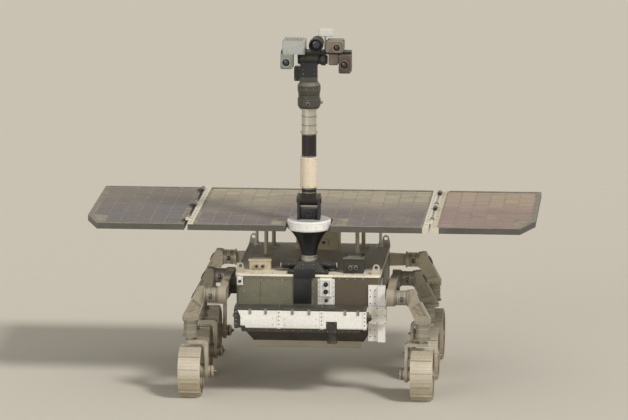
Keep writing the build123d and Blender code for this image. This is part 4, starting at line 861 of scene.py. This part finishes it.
# Bogie beams: boss bolts, pivot cap rings and rivets along the edges
def beam_details():
    collars = small("pivot_collars", BASE, "bare_aluminium")
    steps = collar(44.9, 53, 5, 7, 51)
    for side, out in SIDES:
        for x, y, facing, *ring in (
                (435, -520, -out, 36, 8, MIDDLE), (435, 0, -out, 36, 8, MIDDLE),
                (475, -260, out, 39.8, 8), (489, -260, out, 16.5, 6),
                (397, -260, out, 48.2, 8)):
            fasten_ring(BASE, (side * x, y, BEAM_Z), facing, *ring)
        turn(collars, (side * 390, -260, BEAM_Z), out, steps, 40)
        for z in (535.5, 584.5):
            fasten_rows(
                BASE, (side * 475, (-455, -315), z, 5, out, SMALL),
                (side * 475, (-205, -60), z, 5, out, SMALL),
                ((side * 100, side * 450), 540, z, 10, BACK, SMALL))
    turn(collars, (0, 440, BEAM_Z), BACK, steps, 40)
    fasten_ring(BASE, (0, 540, BEAM_Z), BACK, 39.8, 8)
    fasten_ring(BASE, (0, 554, BEAM_Z), BACK, 16.5, 6)


# Body and deck: recess screws, deck edge, lifting eyes, post feet, deck units, whips
def body_details():
    front, rear, half = -430, 440, 390
    recess = front + 3
    fasten_rows(
        BASE, ((-352, 30), recess, 626.5, 10, AHEAD),
        ((-352, 30), recess, 536, 10, AHEAD), (-352, recess, (545, 618), 2, AHEAD),
        (30, recess, (545, 618), 2, AHEAD), ((150, 320), front, 640, 4, AHEAD),
        ((-280, 280), front, 372, 10, AHEAD))
    for side, out in SIDES:
        wall = side * (half - 3)
        slope = Vector((side * 0.857, 0, -0.514))
        fasten_rows(
            BASE, (wall, (-170, 395), 469, 13, out), (wall, (-170, 395), 611, 13, out),
            (wall, -175, (485, 595), 3, out), (wall, 400, (485, 595), 3, out),
            (side * half, (-400, -180), 639, 5, out),
            (side * 385, (-365, 375), DECK_TOP, 14, UP),
            (side * 378, (-350, 360), 410, 12, slope),
            (side * 315, (-330, 340), 305, 12, slope),
            (side * 225, (-290, 300), 283, 10, DOWN))
        for y in (-400, 410):
            fasten_grid(BASE, (side * 351, side * 389), (y - 9, y + 9), FOOT_TOP, UP)
    fasten_rows(
        BASE, ((-330, 330), -423, DECK_TOP, 12, UP), ((-330, 330), 433, DECK_TOP, 12, UP),
        ((-340, 340), rear, 636, 11, BACK), ((-340, 140), rear, 452, 8, BACK))
    for x, y in product((-250, 250), (-150, 330)):
        fasten_grid(BASE, (x - 22, x + 22), (y - 22, y + 22), FOOT_TOP, UP, MIDDLE)
        fasten_ring(BASE, (x, y, 890), DOWN, 15, 4)

    # Deck units: middle x, half width, front y, depth, top, middle height of the plug block
    for x, half_x, y, depth, unit_top, plug_z in (
            (245, 55, -388, 140, 746, 695.6),
            (-270, 60, -330, 130, 722, 686),
            (0, 120, 260, 140, 772, 706)):
        for edge_y in (y + 6, y + depth - 6):
            fasten_row(BASE, (x - half_x, x + half_x), edge_y, unit_top,
                       max(3, round(half_x / 20)), UP, SMALL)
        for plug in (-0.28, 0.28):
            connector(BASE, (x + half_x * plug, y - 12, plug_z), AHEAD, 8.5)
        tile(small("unit_covers", BASE, "bare_aluminium"), (x, y + depth * 0.5, unit_top), UP,
             BACK, half_x * 1.3, depth * 0.55, 2)
    for side in (-1, 1):
        turn(small("whip_nuts", BASE, "bare_aluminium"), (side * 345, 340, DECK_TOP), UP,
             cap(24, 3, 4, 23), 28)
        fasten_ring(BASE, (side * 345, 340, DECK_TOP + 4), UP, 19.8, 4)


# Back: radar antenna, panel with connectors, stop button and lamps
def rear_details():
    for z in (410, 450):
        fasten_row(BASE, (-90, 90), 640, z, 2, BACK, SMALL)
    tile(small("radar_windows", BASE, "antenna_white"), (0, 640, 430), BACK, UP, 150, 26, 1.5)
    fasten_grid(BASE, (-16, 16), (500, 470), 430, UP, MIDDLE)
    panel = 454
    for x in (158, 292):
        fasten_row(BASE, x, panel, (455, 590), 4, BACK, SMALL)
    for x, z, radius in ((180, 575, 10), (180, 535, 10), (180, 490, 14), (225, 490, 14)):
        connector(BASE, (x, panel, z), BACK, radius)
    turn(small("stop_collars", BASE, "warning_yellow"), (262.5, panel, 570), BACK,
         collar(14.2, 31, 2, 3, 30), 36)
    for z in (500, 475):
        turn(small("lamp_rims", BASE, "screw_steel"), (270, panel, z), BACK,
             [(0, 7.5), (3, 7.5), (3, 0)], 20)
        turn(small("lamp_glasses", BASE, "lamp_green"), (270, 457.1, z), BACK,
             [(0, 5.5), (2.5, 4.5), (4, 0)], 16)


# Gussets, junction boxes and hinge springs under the panels
def underside_details():
    gussets = small("frame_gussets", BASE, "bare_aluminium")
    for x, y, step in product((-250, 250), (-150, 330), (-1, 1)):
        tile(gussets, (x + step * 12, y, 906.5), LEFT * step, UP, 60, 12, 3)
    boxes = small("junction_boxes", BASE, "unit_dark")
    y = 90
    for x in (-450, 450, -120, 120):
        tile(boxes, (x, y, PANEL_UNDER), DOWN, BACK, 90, 60, 16, 3)
        fasten_grid(BASE, (x - 37, x + 37), (y + 22, y - 22), PANEL_UNDER - 16, DOWN)
        connector(BASE, (x, y - 30, 906), AHEAD, 5.5, 9)
    for side, wing in ((1, "wing_left"), (-1, "wing_right")):
        tile(small("junction_boxes", wing, "unit_dark"), (side * 760, y, PANEL_UNDER), DOWN, BACK,
             70, 60, 16, 3)
        fasten_grid(wing, side * 689, (-330, 110, 550), 938, UP, MIDDLE)
        springs = small("hinge_springs", BASE, "actuator_black")
        for station, way in ((-330, 1), (110, 1), (110, -1), (550, -1)):
            start = station + way * 27.5
            turn(springs, (side * 665, start, 945), BACK * way,
                 [(0, 8.5), (2, 11.5), (46, 11.5), (48, 9.5), (52, 9.5), (52, 0)])
            fasten_round(BASE, (side * 665, start + way * 40, 945), BACK, 11.5, 3)


# Mast: foot and collar bolts, disc beads, sleeve and housing screws
def mast_details():
    y = MAST_Y
    for edge in (-78, 78):
        fasten_row(BASE, (-105, 105), y + edge, 674, 5, UP, LARGE)
    for x in (-100.5, 100.5):
        fasten_row(BASE, x, (y - 55, y + 55), 674, 2, UP, LARGE)
    for side, out in SIDES:
        turn(small("drum_caps", BASE, "bare_aluminium"), (side * 150, y, 698), out,
             cap(16.5, 4, 5, 15.5, (6, 3, 5.5)), 32)
        fasten_ring(BASE, (side * 155, y, 698), out, 11.2, 6)
        fasten_round(BASE, (side * 112, y, 698), LEFT, 22, 6)
    slope = Vector((0, -0.923, 0.385))
    cover = Vector((0, y - 65, 698))
    tile(small("foot_covers", BASE, "black"), cover, slope, UP, 70, 34, 4, 2)
    for x, rise in product((-30, 30), (-12, 12)):
        fasten(BASE, cover + slope * 4 + Vector((x, 0.385 * rise, 0.923 * rise)), slope)
    clamps = small("mast_clamps", BASE, "screw_steel")
    for z in (723, 744):
        turn(clamps, (0, y, z), UP, band(44.1, 46.5, 7), 40)
    fasten_round(BASE, (0, y, 726.5), UP, 46.5, 6)
    fasten_ring(BASE, (0, y, FORK_BASE), UP, 104, 16, shift=0.5)
    beads = small("disc_beads", BASE, "white")
    for z in (908, 940):
        turn(beads, (0, y, z), UP, bead(117.9, 119.2), 64)
    fasten_round(BASE, (0, y, 926), UP, 118, 16)
    for side, out in SIDES:
        turn(small("fork_caps", BASE, "actuator_black"), (side * 62, y, 1060), out,
             cap(21, 4, 5, 19.8), 32)
        fasten_ring(BASE, (side * 67, y, 1060), out, 14, 6)
        fasten_row(BASE, side * 62, (y - 38, y + 38), 968, 4, out, SMALL)

    # Housing of the fold drive, between the cheeks and clear of the turning knuckle
    front, back = y - 30, y + 30
    housing = small("fold_drive_housings", BASE, "black")
    slab(housing, (-46.5, front, FORK_BASE - 1), (46.5, back, 1014), 4)
    turn(housing, (0, front, 984), AHEAD, cap(21, 4, 5, 20, (8, 3, 7.5)), 32)
    fasten_ring(BASE, (0, y - 35, 984), AHEAD, 14.5, 6, metal="black")
    for x, z in product((-36, 36), (964, 1004)):
        fasten(BASE, (x, front, z), AHEAD, metal="black")
        fasten(BASE, (x, back, z), BACK, metal="black")

    mast = "mast"
    for z, *ring in ((1138, 48, 8), (1287, 48, 8), (1307, 40, 6), (1417, 40, 6), (1614, 62, 8)):
        fasten_round(mast, (0, y, z), UP, *ring)
    fasten_ring(mast, (0, y, 1435), UP, 44.2, 10)
    fasten_ring(mast, (0, y, 1557), DOWN, 44.2, 10)
    bands = small("tube_bands", mast, "screw_steel")
    for z in (1100, 1122, 1299, 1420, 1470, 1518):
        turn(bands, (0, y, z), UP, band(39.9, 41.6, 5), 40)
    connector(mast, (0, y - 61.5, 1596), AHEAD, 7.5)
    connector(mast, (61.5, y, 1596), LEFT, 7.5)
    pan = "pan"
    fasten_round(pan, (0, y, 1677), UP, 62, 10)
    turn(small("pan_beads", pan, "olive_dark"), (0, y, 1664.5), UP, bead(61.9, 63.2), 48)
    for z, edge in product((1724, 1782), (-16, 16)):
        fasten(pan, (-80, y + edge * 0.8, z), -LEFT)
        fasten(pan, (-62.5 + edge * 0.7, y - 22, z), AHEAD)
    for x in (-30, 30):
        fasten_row(pan, x, (y - 31, y - 26), (1722, 1788), 3, AHEAD, SMALL)


# Camera head: lenses, bench and housing screws, sockets at the back
def head_details():
    y = joint_place["head_tilt"].y
    head = "head"
    back, scope_z = y + 50, 1919
    for spot, radius, glass in (
            ((-117.5, y - 83, 1825), 19.6, "lens_glass"),
            ((197.5, y - 83, 1815), 19.6, "lens_glass_red"),
            ((43, y - 65, scope_z), 31.6, "lens_glass"),
            ((156, y - 83, 1909), 17.6, "lens_glass_red")):
        lens(spot, AHEAD, radius, head, glass)
    for edge in (-37, 37):
        fasten_row(head, (-148, -87), y + edge * 0.55, 1865, 1, UP, SMALL)
        fasten_row(head, (196, 226), (y + edge * 0.8, y + edge * 0.6), 1879, 2, UP, SMALL)
        fasten_grid(head, -12, (y + edge, y + edge * 0.4), 1879, UP)
    for x0, x1, z0, z1 in ((-150, -85, 1785, 1865), (165, 230, 1765, 1865), (95, 190, 1881, 1937)):
        fasten_grid(head, (x0 + 7, x1 - 7), y - 70, (z0 + 10, z1 - 7), AHEAD)
    fasten_grid(head, (-137.5, -108, -78, -48, -20), y - 60, 1871.5, AHEAD)
    backs = small("camera_back_covers", head, "bare_aluminium")
    for x, z, width, height in ((-117.5, 1825, 50, 62), (197.5, 1816, 50, 80)):
        tile(backs, (x, y + 40, z), BACK, UP, width, height, 3)
        connector(head, (x, y + 43, z - 10), BACK, 8.5)
        fasten_grid(head, (x - 21, x + 21), y + 43, (z - 0.42 * height, z + 0.42 * height), BACK)
    for x, radius in ((-115, 9.5), (-78.5, 9.5), (-42, 9.5), (142.5, 8.5)):
        connector(head, (x, back, 1907), BACK, radius)
    fasten_grid(head, (105, 180), back, (1890, 1928), BACK)
    for row_y in (y - 55, y + 36):
        fasten_row(head, (100, 185), row_y, 1939, 4, UP, SMALL)
    seam = small("camera_seams", head, "rubber")
    for x0, x1, z0, z1 in ((-150.3, -84.7, 1784.5, 1865.1), (164.7, 230.3, 1764.5, 1865.1)):
        slab(seam, (x0, y + 10, z0), (x1, y + 12.5, z1), 0.3)
    slab(seam, (94.7, y - 22, 1878.9), (190.3, y - 19.5, 1939.3), 0.3)
    hoods = small("telephoto_rings", head, "screw_steel")
    for shift, radius in ((-46, 38.1), (5, 34.1), (30, 34.1)):
        turn(hoods, (43, y + shift, scope_z), BACK, band(radius - 0.3, radius + 1.2, 3), 40)
    connector(head, (43, y + 55, scope_z), BACK, 10)
    fasten_ring(head, (100, y, 1830), LEFT, 16.5, 6)
    fasten_round(head, (76, y, 1830), LEFT, 32, 8)
    fasten_grid(head, -60, (y - 27, y + 27), 1859, -LEFT)
    fasten_ring(head, (-60, y, 1830), -LEFT, 16.5, 6)
    fasten_grid(head, (60, 124), y - 28, (1967, 1993), AHEAD, TARGET_SCREW)
    fasten_ring(head, (134, y, 1805), DOWN, 20, 4, shift=0.5)


# Drill box: band bolts, latches, lid seam, end plate, tip and imager
def drill_details():
    drill = "drill"
    front, back, top, low = -605, -497, 512.5, 392.5
    for number in range(4):
        x = -376 + 697 * number / 3
        fasten_rows(
            drill, (x, front, (low + 18, top - 16), 4, AHEAD),
            (x, (front + 16, back - 16), top, 4, UP),
            (x, (front + 20, back - 20), low, 2, DOWN))
    seam = small("drill_box_seams", drill, "rubber")
    for x0, x1 in ((-366.5, -153.2), (-134.3, 79.2), (98.2, 311.5)):
        for y0, y1 in ((front + 2.4, front + 3.4), (back - 3.4, back - 2.4)):
            slab(seam, (x0, y0, 495.5), (x1, y1, 497.9), 0.3)
    latches = small("drill_box_latches", drill, "screw_steel")
    for x in (-300, -215, -70, 20, 215, 285):
        tile(latches, (x, front + 3, 488), AHEAD, UP, 14, 26, 3.5)
        tile(latches, (x, front + 0.5, 482), AHEAD, UP, 9, 10, 3)
        turn(latches, (x - 8, front + 0.5, 500.5), LEFT, [(0, 2.8), (16, 2.8)], 12)
    panel = small("drill_box_panels", drill, "white")
    for x0, x1 in ((-352, -168), (-120, 65)):
        tile(panel, ((x0 + x1) / 2, front + 3, 434), AHEAD, UP, x1 - x0, 46, 1.8)
        fasten_grid(drill, (x0 + 8, x1 - 8), front + 1.2, (417, 451), AHEAD)
    tile(small("drill_box_end_plates", drill, "actuator_black"), (-385, DRILL_Y, DRILL_Z),
         -LEFT, UP, 84, 96, 3, 1)
    fasten_grid(drill, -388, (DRILL_Y - 36, DRILL_Y, DRILL_Y + 36), (410.5, 494.5), -LEFT)
    connector(drill, (-388, -533, DRILL_Z), -LEFT, 9)
    fasten_rows(drill, ((-330, 100), -587, 384.5, 9, AHEAD, SMALL),
                ((185, 285), -587, 384.5, 3, AHEAD, SMALL))
    fasten_ring(drill, (340, DRILL_Y, DRILL_Z), LEFT, 25.5, 8)
    turn(small("drill_flutes", drill, "screw_steel"), (356, DRILL_Y, DRILL_Z), LEFT,
         [(0, 9.5), (3, 8.5), (4, 5.5), (9.5, 3), (10.5, 0)], 20)
    fasten_grid(drill, (120.5, 163.5), -599, (382.5, 427.5), AHEAD)
    tile(small("imager_windows", drill, "rubber"), (142, -599, 405), AHEAD, UP, 26, 26, 1.8)
    lens((142, DRILL_Y, 318.5), DOWN, 17.6, drill)
    fasten_round(drill, (142, DRILL_Y, 314.5), UP, 28, 8, IMAGER_SCREW)


# Body front: brace under the mast foot, camera bracket, belly guard, rail, cameras, carriage
def front_details():
    brace = small("foot_braces", BASE, "black")
    for spot, *sizes in (((-29, -430, 574), 98, 148, 5), ((-29, -435, 574), 50, 110, 3),
                         ((-19, -435.2, 669), 118, 50, 5)):
        tile(brace, spot, AHEAD, UP, *sizes, 1)
    fasten_rows(
        BASE, ((-68, 30), -440.2, 684, 5, AHEAD, SMALL, "black"),
        (-70, -435, (509, 639), 5, AHEAD, SMALL, "black"),
        (12, -435, (509, 639), 5, AHEAD, SMALL, "black"))
    tile(small("camera_brackets", BASE, "white"), (100.5, -430, 569), AHEAD, UP, 92, 142, 7, 1)
    for x in (60.5, 140.5):
        fasten_row(BASE, x, -437, (506, 632), 5, AHEAD, SMALL)
    connector(BASE, (100.5, -437, 522), AHEAD, 8.5)
    guard = small("belly_guards", BASE, "leg_grey")
    slab(guard, (-285, -372, 246), (285, -364, 284), 1.5)
    slab(guard, (-285, -372, 246), (285, -330, 250), 1.5)
    fasten_row(BASE, (-265, 265), -372, 258, 11, AHEAD, SMALL)
    for x in (-240, -80, 80, 240):
        slab(guard, (x - 3, -365, 248), (x + 3, -330, 282))
    for x in (341, 366):
        fasten_row(BASE, x, -442, (308, 602), 8, AHEAD)
    fasten_grid(BASE, 68, -448, (560, 595, 631), -LEFT)
    fasten_grid(BASE, 133, -448, (560, 595, 631), LEFT)
    for z in (575.3, 615.7):
        lens((100.5, -467, z), AHEAD, 7.8, BASE)
    fasten_grid(BASE, (-379, -359), -450, (607, 639), AHEAD)
    lens((-369, -450, 623), AHEAD, 9, BASE)
    carrier = "drill_carrier"
    fasten_grid(carrier, (382, 426), -490, (412, DRILL_Z, 493), AHEAD, MIDDLE)
    for ends in ((484, 490), (421, 415)):
        fasten_row(carrier, (300, 372), -470, ends, 3, BACK, SMALL)
    turn(small("drill_pivot_caps", carrier, "bare_aluminium"), (250, -470, DRILL_Z), BACK,
         cap(29, 3, 4, 28, (10, 7, 9)), 36)
    fasten_ring(carrier, (250, -466, DRILL_Z), BACK, 20, 8)


# Every fastener noted becomes one piece for each body and metal
def set_fasteners():
    head = screw_head()
    tree = fastener_tree()
    metals = {"steel": "screw_steel", "black": "black_screw"}
    for number, (body, metal) in enumerate(sorted(fasteners)):
        rows = fasteners[body, metal]
        mesh = bpy.data.meshes.new("fastener_places")
        mesh.from_pydata([place * MM for place, facing, size in rows], [], [])
        ways = mesh.attributes.new("facing", "FLOAT_VECTOR", "POINT")
        sizes = mesh.attributes.new("head_size", "FLOAT_VECTOR", "POINT")
        for index, (place, facing, size) in enumerate(rows):
            ways.data[index].vector = facing
            sizes.data[index].vector = (size[0], size[0], size[1])
        material, slot = skins[metals[metal]], SLOT_BEHIND[metals[metal]]
        from_tree(f"fasteners_{body}_{metal}", mesh, tree,
                  {"Head": head, "Seed": number + 11, "Metal": material}, material, body)
    bpy.data.objects.remove(head)


# Way from the middle of the part at an angle round it and a height, in degrees
def way_at(round_angle, height):
    turned, rise = radians(round_angle), radians(height)
    return Vector((sin(turned) * cos(rise), -cos(turned) * cos(rise), sin(rise)))


# Floor, key and fill lights, pale surroundings
def stage():
    bm = bmesh.new()
    bmesh.ops.create_grid(bm, x_segments=1, y_segments=1, size=FLOOR_HALF)
    floor = as_object("floor", bm)
    material, tree = blank_material("pale floor")
    surface(tree, {"Base Color": tone("cfc8b9"), "Roughness": 0.9})
    floor.data.materials.append(material)

    world = bpy.data.worlds.new("pale room")
    scene.world = world
    world.use_nodes = True
    tree = world.node_tree
    tree.nodes.clear()
    ray = add(tree, "ShaderNodeLightPath").outputs
    mirrored = maths("MAXIMUM", ray["Is Glossy Ray"], ray["Is Transmission Ray"])
    seen = maths("MAXIMUM", ray["Is Camera Ray"], mirrored)
    strength = spread(seen, 0.0, 1.0, 0.45, 0.85)
    shell = add(tree, "ShaderNodeBackground", {"Color": tone("f4f2ee"), "Strength": strength})
    add(tree, "ShaderNodeOutputWorld", {"Surface": shell.outputs[0]})

    for name, strength, width, round_angle, height in (
            ("key", 1.95, 12.0, 50.0, 45.0), ("fill", 0.85, 40.0, -30.0, 11.0)):
        lamp = bpy.data.lights.new(name, "SUN")
        lamp.energy = strength
        lamp.angle = radians(width)
        light = bpy.data.objects.new(name, lamp)
        light.rotation_euler = way_at(round_angle, height).to_track_quat("Z", "Y").to_euler()
        scene.collection.objects.link(light)


# Camera far off with a long lens, at the photo's angle
def stand_camera():
    low, high = Vector(cad_bounds[0]), Vector(cad_bounds[1])
    way = way_at(AZIMUTH, ELEVATION)
    camera = bpy.data.objects.new("camera", bpy.data.cameras.new("camera"))
    camera.data.sensor_width = SENSOR
    camera.data.lens = SENSOR * DISTANCE / VIEW_WIDTH
    camera.data.clip_start = 0.5
    camera.data.clip_end = 3000.0
    camera.location = (low + high) / 2 + Vector((0, 0, AIM_UP)) + way * DISTANCE
    camera.rotation_euler = way.to_track_quat("Z", "Y").to_euler()
    scene.collection.objects.link(camera)
    scene.camera = camera


array_details()
solar_cells()
for side_name, side in (("left", 1), ("right", -1)):
    for place in ("front", "middle", "rear"):
        corner = f"{place}_{side_name}"
        spin = joint_place[f"spin_{corner}"]
        wheel_details(f"wheel_{corner}", spin, side)
        corner_details(f"knuckle_{corner}", joint_place[f"steer_{corner}"], spin, side)
beam_details()
body_details()
rear_details()
underside_details()
mast_details()
head_details()
drill_details()
front_details()
settle_small_parts()
set_fasteners()
stage()
stand_camera()
scene.view_settings.view_transform = "Standard"
